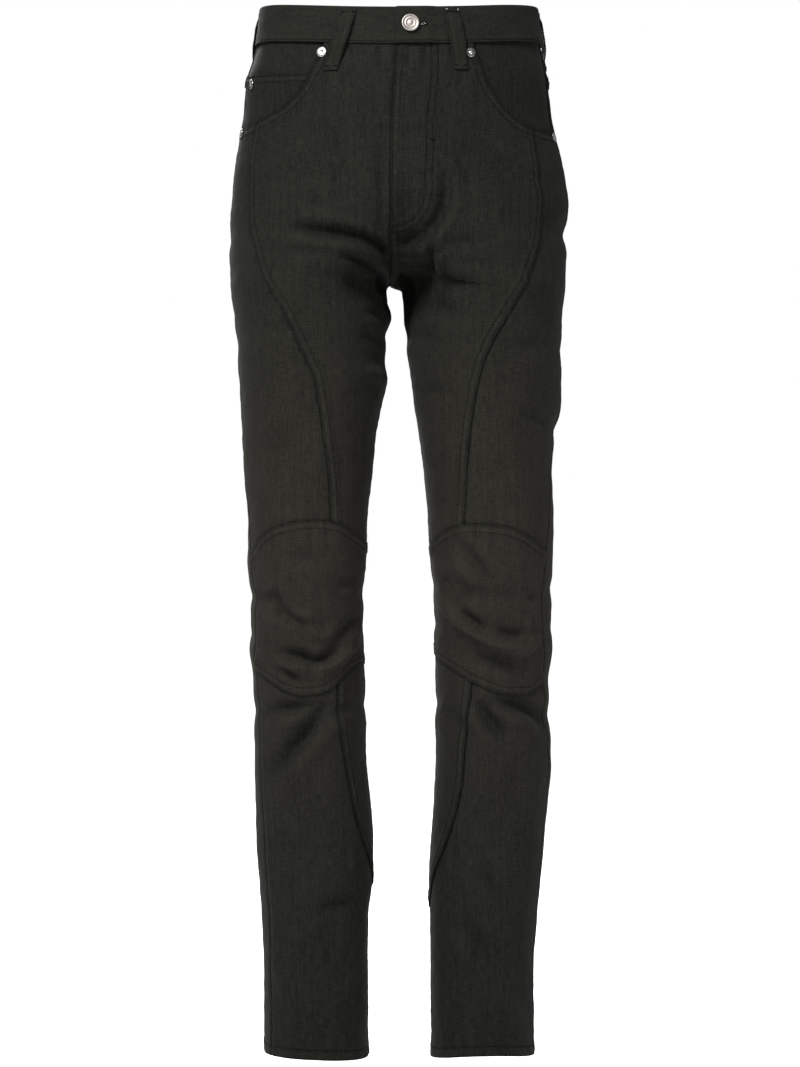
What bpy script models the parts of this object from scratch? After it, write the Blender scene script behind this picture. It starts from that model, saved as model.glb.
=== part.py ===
"""Skinny high-rise trousers, standing open in the shape they have when worn.

Every cut piece is a closed wall of cloth laid on one shared form. The form is a level section
for each leg that grows into the hips above the crotch. A place on it is an angle round the
section, in degrees, and a height. The angle is -90 at the inseam, 0 at the front, 90 at the
outer side, 180 at the back and 270 at the inseam again. The wearer's right leg is at x < 0.
Lengths in this file are millimetres until a mesh is made.
"""
import math

import bmesh
import bpy
import numpy as np

MM = 0.001
CLOTH = 1.4
HEM_WALL = 2.6
HEM_HEIGHT = 13.0
SEAM_HALF_GAP = 0.18
LAP_GAP = 0.3
RECESS = 2.3
FACING_UNDERLAP = 8.0
BAND_HEIGHT = 38.0
BAND_IN = 0.6
BAND_OUT = 2.6
BAND_COVERS = 6.0
WAIST_DIP_FRONT = 12.5
WAIST_RISE_BACK = 9.0
YOKE_DROP_CENTRE = 66.0
CROTCH_Z = -285.5
RISE_BLEND = 100.0
SQUARE = 0.92
# side: height at the sides, how much higher outside than inside, how much higher in front
HEMS = {"right": (-1084.5, 2.6, 1.5), "left": (-1086.0, 1.2, 7.0)}
LOOP_WIDTH = 15.0
LOOP_WALL = 1.6
LOOP_STAND_OFF = 2.6
BUTTON_RADIUS = 9.0
SHIELD_HALF = 21.0
GUSSET_TIP = 3.0
SHARP_ANGLE = math.radians(50)
SHIELD_BOTTOM = -224.0

# Outline at each height: distance out at the right side, at the left side, depth in front, behind.
OUTLINE = [
    # z, right_out, left_out, front, back
    (20, 143, 141, -88, 92),
    (0, 144.2, 142, -90, 94),
    (-17, 145.5, 143.2, -92, 96),
    (-37, 148.5, 146, -95, 99),
    (-53, 153, 149.5, -98, 102),
    (-74, 159.5, 153.5, -102, 105),
    (-95, 161.5, 155.5, -104, 109),
    (-115, 163.5, 158, -105, 113),
    (-136, 167, 163, -106, 117),
    (-157, 170.5, 168.5, -107, 120),
    (-178, 173.5, 172.5, -108, 123),
    (-204, 175.5, 175.5, -108, 126),
    (-235, 177, 171.5, -107, 128),
    (-261, 177, 173, -105, 127),
    (-287, 176.5, 172.5, -102, 124),
    (-323, 171.5, 168, -99, 114),
    (-365, 168.5, 168, -96, 104),
    (-407, 165.5, 167, -93, 94),
    (-448, 164, 160, -90, 86),
    (-490, 161, 158, -87, 78),
    (-531, 157.5, 159, -85, 70),
    (-573, 158.5, 158.5, -84, 65),
    (-615, 153.5, 156.5, -82, 62),
    (-667, 156, 158, -78, 61),
    (-698, 152, 154, -75, 63),
    (-739, 151.5, 155.5, -72, 66),
    (-781, 151, 157, -69, 69),
    (-823, 150.5, 154, -67, 70),
    (-864, 149.5, 150, -64, 70),
    (-906, 146.5, 146.5, -63, 69),
    (-947, 143.5, 142.5, -62, 67),
    (-989, 142, 139.5, -62, 65),
    (-1031, 141.5, 139.5, -62, 63),
    (-1092, 141, 139, -62, 62),
]
INSEAM = [
    # z, right_in, left_in
    (-285.5, 9.4, -9.4),
    (-287.5, 12.8, -3.5),
    (-291, 14.2, 2),
    (-303, 13.5, 3),
    (-318, 9.4, 4.5),
    (-344, 14.5, 6.5),
    (-365, 16.5, 9.4),
    (-385, 13.5, 12),
    (-407, 18.7, 14.6),
    (-448, 26, 20.8),
    (-490, 30, 26),
    (-531, 34.3, 29),
    (-573, 35.4, 32),
    (-615, 38.5, 35.4),
    (-657, 38, 36.4),
    (-698, 36.4, 37.4),
    (-781, 35.4, 37.4),
    (-823, 31, 35.4),
    (-864, 28, 32.2),
    (-906, 29, 30.2),
    (-947, 33.3, 31.2),
    (-1031, 33.3, 32.2),
    (-1092, 32.8, 32.2),
]
CENTRE_LINE = [
    # z, x
    (20, -3.5),
    (-50, -4),
    (-140, -9),
    (-230, -9.5),
    (-285.5, -9.4),
    (-1092, -9.4),
]
SIDE_SEAM = [
    # z, right_angle, left_angle
    (20, 90, 89),
    (-131, 85, 80),
    (-250, 86, 84),
    (-400, 82, 80),
    (-500, 75, 69),
    (-570, 66, 57),
    (-620, 62, 52),
    (-700, 61, 59),
    (-800, 57, 69),
    (-900, 54, 70),
    (-1092, 54, 72),
]
POCKET_MOUTH = [
    # right_angle, right_z, left_angle, left_z
    (27.2, -42.5, 28, -42.5),
    (29.4, -66, 30.9, -65.6),
    (32, -81.8, 33.8, -86),
    (36, -97, 38.3, -103.5),
    (42, -109.5, 43.5, -117),
    (50, -118, 50, -127),
    (60, -124.5, 57, -131.5),
    (70, -128, 66, -133),
    (85, -130, 80, -133),
]
MOUTH_TURN = 6
THIGH_SEAM = [
    # z, right_angle, left_angle
    (-120, 60, 57),
    (-158, 61.3, 55.2),
    (-184, 60.3, 54.8),
    (-210, 57, 53.5),
    (-232, 52.3, 51.6),
    (-250, 46.5, 46.6),
    (-270, 39, 38.4),
    (-296, 26, 25.5),
    (-322, 17.2, 15.5),
    (-350, 7.5, 3.8),
    (-373, 1, -2.8),
    (-393, -3, -7),
    (-417, -7.6, -11),
    (-442, -12, -14),
    (-468, -16, -17.4),
    (-494, -19.5, -20.5),
    (-536, -23, -25),
]
KNEE_TOP = [
    # right_angle, right_z, left_angle, left_z
    (-90, -554.5, -90, -560),
    (-71, -552.5, -58, -548),
    (-53, -545.5, -44.6, -542),
    (-36, -537, -31.6, -537),
    (-23, -533, -25, -536),
    (-7, -531.7, -15, -535.6),
    (6.4, -533, 0, -536.5),
    (20, -536, 11.7, -538.7),
    (33, -541, 25.3, -544.3),
    (44, -548, 36, -550.4),
    (53, -557, 46, -556.5),
    (67, -569, 59, -563.5),
]
KNEE_TOP_MEETS_THIGH = 4
KNEE_LOW = [
    # right_angle, right_z, left_angle, left_z
    (-90, -680, -90, -669),
    (-66, -680, -69, -676),
    (-47.4, -686, -48, -682.5),
    (-30.5, -698, -20.6, -696.5),
    (-20, -705, -10, -701.5),
    (-8, -709, 5.2, -708),
    (5, -710, 19.4, -709.8),
    (21, -706, 30, -709.8),
    (35.4, -699, 36.5, -708.8),
    (62, -684, 59, -698),
]
KNEE_LOW_MEETS_SHIN = 3
SHIN_SEAM = [
    # z, right_angle, left_angle
    (-696, -30.5, -20.6),
    (-722, -29.5, -24),
    (-740, -30.6, -26.5),
    (-760, -34, -28.7),
    (-780, -38, -30.3),
    (-800, -40.7, -31.6),
    (-820, -42.8, -34),
    (-842, -47, -39),
    (-862, -54.6, -46),
    (-880, -67, -54.5),
    (-900, -81, -65.5),
    (-922, -88, -78),
]
SHIN_SEAM_END = {"right": -912.0, "left": -934.0}
# Largest folds: a soft trough (height < 0) or ridge (> 0) along a bend through three places.
FOLDS = [
    # side, view, x1, z1, x2, z2, x3, z3, width, height
    ("right", "front", -104, -233, -46, -242, -12, -266, 11, -5.5),
    ("right", "front", -62, -249, -31, -258, -14, -272, 8, 3.0),
    ("right", "front", -60, -265, -23, -278, -12, -287, 9, -3.0),
    ("right", "front", -101, -203, -90, -210, -80, -219, 11, -2.2),
    ("left", "front", 45, -172, 46, -207, 10, -248, 11, -4.6),
    ("left", "front", 28, -252, 30, -265, 31, -280, 10, -3.4),
    ("left", "front", 38, -252, 62, -251, 86, -250, 11, -2.6),
    ("left", "front", 41, -292, 62, -293, 83, -294, 11, -2.4),
    ("left", "front", 20, -308, 38, -317, 57, -326, 11, -2.6),
    ("right", "front", -30, -318, -20, -322, -12, -325, 9, -2.4),
    ("right", "front", -32, -378, -23, -384, -14, -387, 10, 2.2),
    ("right", "front", -147, -610, -118, -625, -97, -636, 9, -3.6),
    ("right", "front", -111, -624, -98, -630, -84, -631, 8, 2.8),
    ("right", "front", -63, -598, -53, -598, -44, -596, 8, -2.4),
    ("right", "front", -61, -652, -52, -642, -44, -630, 9, -3.0),
    ("right", "front", -126, -668, -87, -680, -61, -655, 9, -5.6),
    ("right", "front", -129, -676, -87, -690, -46, -662, 8, 3.4),
    ("left", "front", 58, -552, 76, -575, 94, -596, 10, -3.0),
    ("left", "front", 58, -607, 88, -608, 124, -611, 12, -2.2),
    ("left", "front", 39, -608, 82, -650, 143, -647, 9, 4.4),
    ("left", "front", 61, -623, 72, -634, 85, -645, 9, -4.0),
    ("left", "front", 66, -670, 94, -677, 122, -690, 10, -3.6),
    ("right", "front", -138, -723, -110, -721, -83, -719, 10, -2.4),
    ("right", "front", -69, -714, -100, -752, -131, -793, 12, -3.4),
    ("left", "front", 91, -713, 120, -718, 148, -740, 10, -2.6),
    ("left", "front", 77, -714, 92, -735, 106, -752, 11, -2.8),
    ("right", "front", -76, -926, -60, -924, -47, -922, 10, -1.6),
    ("left", "front", 81, -886, 93, -902, 104, -918, 12, -1.8),
    ("right", "back", -20, -324, -62, -311, -116, -308, 14, -2.8),
    ("right", "back", -24, -349, -68, -338, -118, -334, 12, 1.8),
    ("left", "back", 12, -324, 54, -309, 110, -311, 14, -2.8),
    ("left", "back", 16, -351, 62, -339, 112, -337, 12, 1.8),
    ("right", "back", -45, -588, -95, -600, -140, -592, 11, -5.0),
    ("right", "back", -46, -612, -95, -622, -142, -614, 10, 3.4),
    ("right", "back", -48, -640, -95, -634, -145, -646, 11, -5.0),
    ("right", "back", -45, -676, -90, -668, -140, -684, 11, -3.2),
    ("left", "back", 43, -594, 95, -584, 142, -598, 11, -5.0),
    ("left", "back", 44, -618, 95, -612, 146, -616, 10, 3.4),
    ("left", "back", 44, -636, 95, -648, 148, -638, 11, -4.8),
    ("left", "back", 46, -672, 95, -682, 142, -670, 11, -3.0),
    ("right", "back", -48, -742, -90, -764, -138, -772, 12, -3.0),
    ("left", "back", 46, -760, 92, -770, 140, -756, 12, -3.0),
]

# Long panels are carried by several solids, one above the other: name, then the level below it.
FRONT_PARTS = (("front_hip", -215), ("front_crotch", -385), ("front_thigh", None))
SIDE_FRONT_PARTS = (("side_front_hip", -285), ("side_front_thigh", -430), ("side_front_low", None))
SHIN_PARTS = (("shin_calf", -895), ("shin_ankle", None))
BACK_PARTS = (
    ("back_seat", -250), ("back_thigh", -415), ("back_low", -580),
    ("back_knee", -748), ("back_calf", -917), ("back_ankle", None),
)

# Rows between neighbouring seams and columns across each piece.
ROWS_MOUTH = 6
ROWS_YOKE = 3
ROWS_THIGH = 26
ROWS_RISE_FRONT = 18
ROWS_KNEE = 11
ROWS_GUSSET = 12
ROWS_ANKLE = 9
COLUMNS_FRONT = 9
FACING_COLUMNS = (0.0, 0.2, 0.4, 0.6, 0.8, 0.92, 1.0)
COLUMNS_BACK = 8
COLUMNS_GUSSET = 4
COLUMNS_SHIN = 11

# side, angle_top, z_top, angle_bottom, z_bottom
LOOPS = {
    "belt_loop_front_right": ("right", 17.6, -14.6, 23.0, -77.0),
    "belt_loop_front_left": ("left", 20.3, -14.4, 22.9, -76.0),
    "belt_loop_side_right": ("right", 100.0, -1.6, 101.0, -62.5),
    "belt_loop_side_left": ("left", 98.0, -1.6, 97.0, -62.5),
    "belt_loop_back": ("left", 180.0, 5.8, 180.0, -58.0),
}
# name: side, angle, z, radius, seat above the cloth
RIVETS = {
    "rivet_mouth_right": ("right", 27.9, -57.8, 5.4, 0.3),
    "rivet_mouth_left": ("left", 27.2, -58.6, 5.0, 0.3),
    "rivet_end_right": ("right", 78.0, -131.5, 4.8, 0.3),
    "rivet_end_left": ("left", 76.0, -136.0, 4.8, 0.3),
    "rivet_coin_right": ("right", 70.5, -83.0, 4.6, -0.6),
}
# name: base colour, roughness, metallic
FINISHES = {
    "thigh": ((0.025, 0.024, 0.020), 0.92, 0.0),
    "hips": ((0.023, 0.023, 0.019), 0.92, 0.0),
    "band": ((0.022, 0.022, 0.018), 0.92, 0.0),
    "knee": ((0.028, 0.027, 0.023), 0.92, 0.0),
    "shin": ((0.022, 0.022, 0.018), 0.92, 0.0),
    "button": ((0.44, 0.40, 0.35), 0.30, 1.0),
    "rivet": ((0.40, 0.38, 0.36), 0.32, 1.0),
}


def columns(table):
    """The columns of a table of numbers, each as an array."""
    return np.array(table, dtype=float).T


def through(xs, ys, x):
    """Value at x of a curve through the points, with no overshoot between them."""
    order = np.argsort(xs)
    xs = np.asarray(xs, dtype=float)[order]
    ys = np.asarray(ys, dtype=float)[order]
    step = np.diff(xs)
    rise = np.diff(ys) / step
    slope = np.zeros(len(xs))
    slope[0], slope[-1] = rise[0], rise[-1]
    for i in range(1, len(xs) - 1):
        if rise[i - 1] * rise[i] > 0:
            w_low = 2 * step[i] + step[i - 1]
            w_high = step[i] + 2 * step[i - 1]
            slope[i] = (w_low + w_high) / (w_low / rise[i - 1] + w_high / rise[i])
    x = np.clip(np.asarray(x, dtype=float), xs[0], xs[-1])
    i = np.clip(np.searchsorted(xs, x) - 1, 0, len(xs) - 2)
    h = step[i]
    t = (x - xs[i]) / h
    near = (2 * t ** 3 - 3 * t ** 2 + 1) * ys[i] + (t ** 3 - 2 * t ** 2 + t) * h * slope[i]
    far = (3 * t ** 2 - 2 * t ** 3) * ys[i + 1] + (t ** 3 - t ** 2) * h * slope[i + 1]
    return near + far


def of_side(table, side, z):
    """Column of a two-sided table (height, right, left) at heights z."""
    rows = columns(table)
    return through(rows[0], rows[1 if side == "right" else 2], z)


def smooth(t):
    """Soft step from 0 to 1."""
    t = np.clip(t, 0.0, 1.0)
    return t * t * (3 - 2 * t)


def section(side, z):
    """Level section of one side at heights z, in distances out from x = 0."""
    z = np.asarray(z, dtype=float)
    sign = -1.0 if side == "right" else 1.0
    _, right_out, left_out, front, back = columns(OUTLINE)
    heights = columns(OUTLINE)[0]
    out = through(heights, right_out if side == "right" else left_out, z)
    front = through(heights, front, z)
    back = through(heights, back, z)
    inner = of_side(INSEAM, side, z)
    centre_z, centre_x = columns(CENTRE_LINE)
    centre = sign * through(centre_z, centre_x, z)
    open_leg = z < CROTCH_Z
    joined = np.clip((z - CROTCH_Z) / RISE_BLEND, 0.0, 1.0)
    middle = np.where(open_leg, (inner + out) / 2, centre + (out - centre) / 2 * (1 - joined))
    half = out - middle
    middle_y = (front + back) / 2
    share = np.clip((middle - centre) / half, 0.0, 1.0)
    start = np.where(open_leg, -90.0, -np.degrees(np.arcsin(share ** (1 / SQUARE))))
    return sign, middle, half, middle_y, middle_y - front, back - middle_y, start


def base_point(side, angle, z):
    """Place on the plain form."""
    sign, middle, half, middle_y, depth_front, depth_back, _ = section(side, z)
    sine = np.sin(np.radians(angle))
    cosine = np.cos(np.radians(angle))
    x = sign * (middle + half * np.sign(sine) * np.abs(sine) ** SQUARE)
    depth = np.where(cosine > 0, depth_front, depth_back)
    y = middle_y - depth * np.sign(cosine) * np.abs(cosine) ** SQUARE
    return np.stack([x, y, np.broadcast_to(z, x.shape)], axis=-1)


def base_normal(side, angle, z):
    """Outward direction on the plain form."""
    turn, drop = 0.8, 1.5
    below = np.minimum(z, np.where(z >= CROTCH_Z, 1e9, CROTCH_Z - drop))
    low, high = below - drop, below + drop
    round_it = base_point(side, angle + turn, z) - base_point(side, angle - turn, z)
    down_it = base_point(side, angle, low) - base_point(side, angle, high)
    normal = np.cross(round_it, down_it)
    sign = -1.0 if side == "right" else 1.0
    normal = -sign * normal
    return normal / np.maximum(np.linalg.norm(normal, axis=-1, keepdims=True), 1e-9)


def fold_height(side, angle, points):
    """How far the folds lift or sink the cloth at points of the form."""
    lift = np.zeros(points.shape[:-1])
    cosine = np.cos(np.radians(angle))
    centre_z, centre_x = columns(CENTRE_LINE)
    off_centre = np.abs(points[..., 0] - through(centre_z, centre_x, points[..., 2]))
    near_rise = points[..., 2] > CROTCH_Z - 12
    clear = np.where(near_rise, smooth((off_centre - 2) / 14), 1.0)
    for fold_side, view, x1, z1, x2, z2, x3, z3, width, height in FOLDS:
        if fold_side != side:
            continue
        facing = smooth((cosine if view == "front" else -cosine) * 5)
        best = np.full(lift.shape, 1e9)
        along = np.zeros(lift.shape)
        for t in np.linspace(0, 1, 25):
            bend = ((1 - t) * (1 - 2 * t), 4 * t * (1 - t), t * (2 * t - 1))
            x = bend[0] * x1 + bend[1] * x2 + bend[2] * x3
            z = bend[0] * z1 + bend[1] * z2 + bend[2] * z3
            away = np.hypot(points[..., 0] - x, points[..., 2] - z)
            along = np.where(away < best, t, along)
            best = np.minimum(best, away)
        ends = 0.25 + 0.75 * np.sin(np.pi * along)
        lift += height * facing * ends * np.exp(-(best / width) ** 2)
    return lift * clear


def cloth_point(side, angle, z, lift=0.0):
    """Place on the folded form, moved out by lift."""
    angle = np.asarray(angle, dtype=float)
    z = np.asarray(z, dtype=float)
    points = base_point(side, angle, z)
    normal = base_normal(side, angle, z)
    height = fold_height(side, angle, points) + lift
    return points + normal * height[..., None] if np.ndim(height) else points + normal * height


def start_angle(side, z):
    """Angle of the rise or inseam where a side's section starts."""
    return section(side, z)[6]


def waist_top(angle):
    """Height of the waistband's top edge."""
    cosine = np.cos(np.radians(angle))
    return np.where(cosine > 0, -WAIST_DIP_FRONT * cosine ** 2, WAIST_RISE_BACK * cosine ** 2)


def panel_top(angle):
    """Height of a panel's top edge, which reaches up under the waistband."""
    return waist_top(angle) - BAND_HEIGHT + BAND_COVERS


def hem_height(side, angle):
    """Height of the hem edge."""
    level, tilt, front = HEMS[side]
    sine, cosine = np.sin(np.radians(angle)), np.cos(np.radians(angle))
    return level + tilt * sine + front * np.maximum(cosine, 0.0) ** 2


def curve(points, count):
    """Even places along a smooth curve of (angle, z) points; angle counts about 1.4 mm a degree."""
    points = np.asarray(points, dtype=float)
    if len(points) == 2:
        share = np.linspace(0, 1, count + 1)[:, None]
        return points[0] * (1 - share) + points[1] * share
    length = np.concatenate([[0], np.cumsum(np.hypot(*(np.diff(points, axis=0) * (1.4, 1.0)).T))])
    at = np.linspace(0, length[-1], count + 1)
    return np.stack([through(length, points[:, 0], at), through(length, points[:, 1], at)], axis=-1)


def side_points(table, side):
    """(angle, z) points of one side of a four-column seam table."""
    rows = np.array(table, dtype=float)
    return rows[:, 0:2] if side == "right" else rows[:, 2:4]


def rise_heights(side):
    """Heights of the rows down the front rise and then the inseam to the knee panel."""
    top = float(panel_top(0.0))
    spread = through([0, 0.5, 0.86, 1], [0, 0.6, 0.95, 1], np.linspace(0, 1, ROWS_RISE_FRONT + 1))
    rise = top + (CROTCH_Z - top) * spread
    count = ROWS_MOUTH + ROWS_THIGH - ROWS_RISE_FRONT
    knee = side_points(KNEE_TOP, side)[0][1]
    share = np.linspace(0, 1, count + 1)
    inseam = CROTCH_Z + (knee - CROTCH_Z) * (0.45 * share + 0.55 * share ** 1.6)
    return rise, inseam


def seams(side):
    """Every seam of one side, each as a list of (angle, z) places shared by its two pieces."""
    found = {}
    rise, inseam = rise_heights(side)
    found["rise"] = np.stack([start_angle(side, rise), rise], axis=-1)
    found["inseam_thigh"] = np.stack([np.full(len(inseam), -90.0), inseam], axis=-1)
    mouth = side_points(POCKET_MOUTH, side)
    found["mouth"] = curve(mouth[:MOUTH_TURN + 1], ROWS_MOUTH)
    shares = np.array(FACING_COLUMNS)
    fine = curve(mouth[MOUTH_TURN:], 40)
    found["mouth_low"] = np.stack(
        [np.interp(shares, np.linspace(0, 1, 41), fine[:, k]) for k in (0, 1)], axis=-1)
    knee_top = side_points(KNEE_TOP, side)
    knee_low = side_points(KNEE_LOW, side)
    meet = KNEE_TOP_MEETS_THIGH
    found["knee_top_in"] = curve(knee_top[:meet + 1], COLUMNS_FRONT)
    found["knee_top_out"] = curve(knee_top[meet:], len(FACING_COLUMNS) - 1)
    turn_z, end_z = mouth[MOUTH_TURN][1], knee_top[meet][1]
    share = np.linspace(0, 1, ROWS_THIGH + 1)
    share = through([0, 0.22, 0.56, 1], [0, 0.25, 0.5, 1], share)
    z = turn_z + (end_z - turn_z) * share
    found["thigh"] = np.stack([of_side(THIGH_SEAM, side, z), z], axis=-1)
    found["thigh"][0] = mouth[MOUTH_TURN]
    found["thigh"][-1] = knee_top[meet]
    meet = KNEE_LOW_MEETS_SHIN
    found["knee_low_in"] = curve(knee_low[:meet + 1], COLUMNS_GUSSET)
    found["knee_low_out"] = curve(knee_low[meet:], COLUMNS_SHIN)
    z = np.linspace(knee_low[meet][1], SHIN_SEAM_END[side], ROWS_GUSSET + 1)
    found["shin"] = np.stack([of_side(SHIN_SEAM, side, z), z], axis=-1)
    found["shin"][0] = knee_low[meet]
    found["shin"][-1] = (-90.0, SHIN_SEAM_END[side])
    found["inseam_knee"] = curve([(-90, knee_top[0][1]), (-90, knee_low[0][1])], ROWS_KNEE)
    found["inseam_gusset"] = curve([(-90, knee_low[0][1]), (-90, SHIN_SEAM_END[side])], ROWS_GUSSET)
    hem_in = float(hem_height(side, -90.0))
    ankle = curve([(-90, SHIN_SEAM_END[side]), (-90, hem_in + HEM_HEIGHT)], ROWS_ANKLE - 1)
    found["inseam_ankle"] = np.vstack([ankle, [(-90, hem_in)]])

    top = float(panel_top(of_side(SIDE_SEAM, side, -40.0)))
    mouth_end = mouth[-1][1]
    upper = np.linspace(top, mouth_end, ROWS_MOUTH + 1)
    thigh = np.linspace(mouth_end, knee_top[-1][1], ROWS_THIGH + 1)
    knee = np.linspace(knee_top[-1][1], knee_low[-1][1], ROWS_KNEE + 1)
    hem_z = float(hem_height(side, of_side(SIDE_SEAM, side, HEMS[side][0])))
    lower = np.linspace(knee_low[-1][1], hem_z + HEM_HEIGHT, ROWS_GUSSET + ROWS_ANKLE)
    lower = np.append(lower, hem_z)
    for name, heights in (("side_mouth", upper), ("side_thigh", thigh), ("side_knee", knee),
                          ("side_shin", lower)):
        found[name] = np.stack([of_side(SIDE_SEAM, side, heights), heights], axis=-1)
    found["side_mouth"][-1] = mouth[-1]
    found["side_thigh"][0] = mouth[-1]
    found["side_thigh"][-1] = knee_top[-1]
    found["side_knee"][0] = knee_top[-1]
    found["side_knee"][-1] = knee_low[-1]
    found["side_shin"][0] = knee_low[-1]
    return found


def mirrored(places):
    """The same places reached from the back: angle a becomes 180 - a."""
    places = np.array(places, dtype=float)
    places[..., 0] = 180 - places[..., 0]
    return places


def travelled(places):
    """Share of an edge's length reached at each of its places."""
    steps = np.hypot(*(np.diff(places, axis=0) * (1.4, 1.0)).T)
    reached = np.concatenate([[0.0], np.cumsum(steps)])
    return reached / max(reached[-1], 1e-9)


def patch(left, right, top, bottom):
    """Grid of (angle, z) between four edges, rows down and columns across."""
    down = (travelled(left) + travelled(right)) / 2
    across_top, across_low = travelled(top), travelled(bottom)
    t = down[:, None, None]
    s = ((1 - down)[:, None] * across_top[None] + down[:, None] * across_low[None])[..., None]
    sides = (1 - s) * left[:, None] + s * right[:, None]
    ends = (1 - t) * top[None] + t * bottom[None]
    corners = ((1 - s) * (1 - t) * top[0] + s * (1 - t) * top[-1]
               + (1 - s) * t * bottom[0] + s * t * bottom[-1])
    grid = sides + ends - corners
    grid[0], grid[-1] = top, bottom
    grid[:, 0], grid[:, -1] = left, right
    return grid


def pulled_in(side, grid, distance=SEAM_HALF_GAP):
    """The grid with its four edges moved in by distance, so that seams keep their gap."""
    grid = grid.copy()
    for edge, inner in (((slice(None), 0), (slice(None), 1)), ((slice(None), -1), (slice(None), -2)),
                        ((0, slice(None)), (1, slice(None))), ((-1, slice(None)), (-2, slice(None)))):
        here, there = grid[edge], grid[inner]
        span = base_point(side, there[:, 0], there[:, 1]) - base_point(side, here[:, 0], here[:, 1])
        length = np.maximum(np.linalg.norm(span, axis=-1), 1e-6)
        grid[edge] = here + (there - here) * np.minimum(distance / length, 0.45)[:, None]
    return grid


def make_mesh(name, points, faces, finish):
    """Object from points in millimetres and faces, with its faces turned outwards."""
    mesh = bpy.data.meshes.new(name)
    mesh.from_pydata([tuple(float(v) * MM for v in p) for p in points], [], faces)
    shape = bmesh.new()
    shape.from_mesh(mesh)
    bmesh.ops.recalc_face_normals(shape, faces=shape.faces[:])
    if shape.calc_volume(signed=True) < 0:
        bmesh.ops.reverse_faces(shape, faces=shape.faces[:])
    for face in shape.faces:
        face.smooth = True
    for edge in shape.edges:
        edge.smooth = edge.calc_face_angle(0.0) < SHARP_ANGLE
    shape.to_mesh(mesh)
    shape.free()
    item = bpy.data.objects.new(name, mesh)
    bpy.context.scene.collection.objects.link(item)
    colour, roughness, metallic = FINISHES[finish]
    material = bpy.data.materials.new(name + "_" + finish)
    material.use_nodes = True
    shader = material.node_tree.nodes["Principled BSDF"]
    shader.inputs["Base Color"].default_value = (*colour, 1.0)
    shader.inputs["Roughness"].default_value = roughness
    shader.inputs["Metallic"].default_value = metallic
    mesh.materials.append(material)
    return item


def shell(name, outer, inner, finish):
    """Closed wall between an outer and an inner grid of points."""
    rows, cols = outer.shape[:2]
    points = np.concatenate([outer.reshape(-1, 3), inner.reshape(-1, 3)])
    shift = rows * cols
    faces = []
    for r in range(rows - 1):
        for c in range(cols - 1):
            a, b = r * cols + c, r * cols + c + 1
            d, e = a + cols, b + cols
            if np.linalg.norm(points[a] - points[e]) <= np.linalg.norm(points[b] - points[d]):
                pair = ((a, d, e), (a, e, b))
            else:
                pair = ((a, d, b), (b, d, e))
            faces.extend(pair)
            faces.extend(tuple(v + shift for v in reversed(face)) for face in pair)
    border = [(0, c) for c in range(cols)] + [(r, cols - 1) for r in range(1, rows)]
    border += [(rows - 1, c) for c in range(cols - 2, -1, -1)] + [(r, 0) for r in range(rows - 2, 0, -1)]
    ring = [r * cols + c for r, c in border]
    for a, b in zip(ring, ring[1:] + ring[:1]):
        faces.append((a, b, b + shift))
        faces.append((a, b + shift, a + shift))
    return make_mesh(name, points, faces, finish)


def cloth(name, side, grid, finish, outer_lift=0.0, inner_lift=-CLOTH):
    """Closed wall of cloth over a grid of (angle, z)."""
    angle, z = grid[..., 0], grid[..., 1]
    outer = cloth_point(side, angle, z, np.broadcast_to(outer_lift, angle.shape))
    inner = cloth_point(side, angle, z, np.broadcast_to(inner_lift, angle.shape))
    return shell(name, outer, inner, finish)


def stacked_cloth(parts, side, grid, finish, inner_lift=None):
    """One long panel as several closed walls, each a run of the grid's rows."""
    if inner_lift is None:
        inner_lift = np.full(grid.shape[:2], -CLOTH)
    levels = grid[..., 1].mean(axis=1)
    first = 0
    for name, level in parts:
        last = len(levels) - 1 if level is None else int(np.abs(levels - level).argmin())
        rows = slice(first, last + 1)
        cloth(name + "_" + side, side, pulled_in(side, grid[rows]), finish, 0.0, inner_lift[rows])
        first = last


def hem_wall(grid):
    """Inner lift of a leg piece whose last row is the turned-up hem."""
    lift = np.full(grid.shape[:2], -CLOTH)
    lift[-2:] = -HEM_WALL
    return lift


def build_front(side, seam):
    """Inner front panel, from the waist to the knee panel."""
    left = np.vstack([seam["rise"], seam["inseam_thigh"][1:]])
    right = np.vstack([seam["mouth"], seam["thigh"][1:]])
    across = np.linspace(0, 1, COLUMNS_FRONT + 1)
    angle = left[0][0] + (right[0][0] - left[0][0]) * across
    top = np.stack([angle, panel_top(angle)], axis=-1)
    right[0] = top[-1]
    grid = patch(left, right, top, seam["knee_top_in"])
    grid[..., 0] = np.maximum(grid[..., 0], start_angle(side, grid[..., 1]))
    stacked_cloth(FRONT_PARTS, side, grid, "thigh")
    return right[:ROWS_MOUTH + 1]


def build_side_front(side, seam):
    """Outer thigh panel between the curved thigh seam and the side seam."""
    grid = patch(seam["thigh"], seam["side_thigh"], seam["mouth_low"], seam["knee_top_out"])
    stacked_cloth(SIDE_FRONT_PARTS, side, grid, "thigh")


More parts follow.
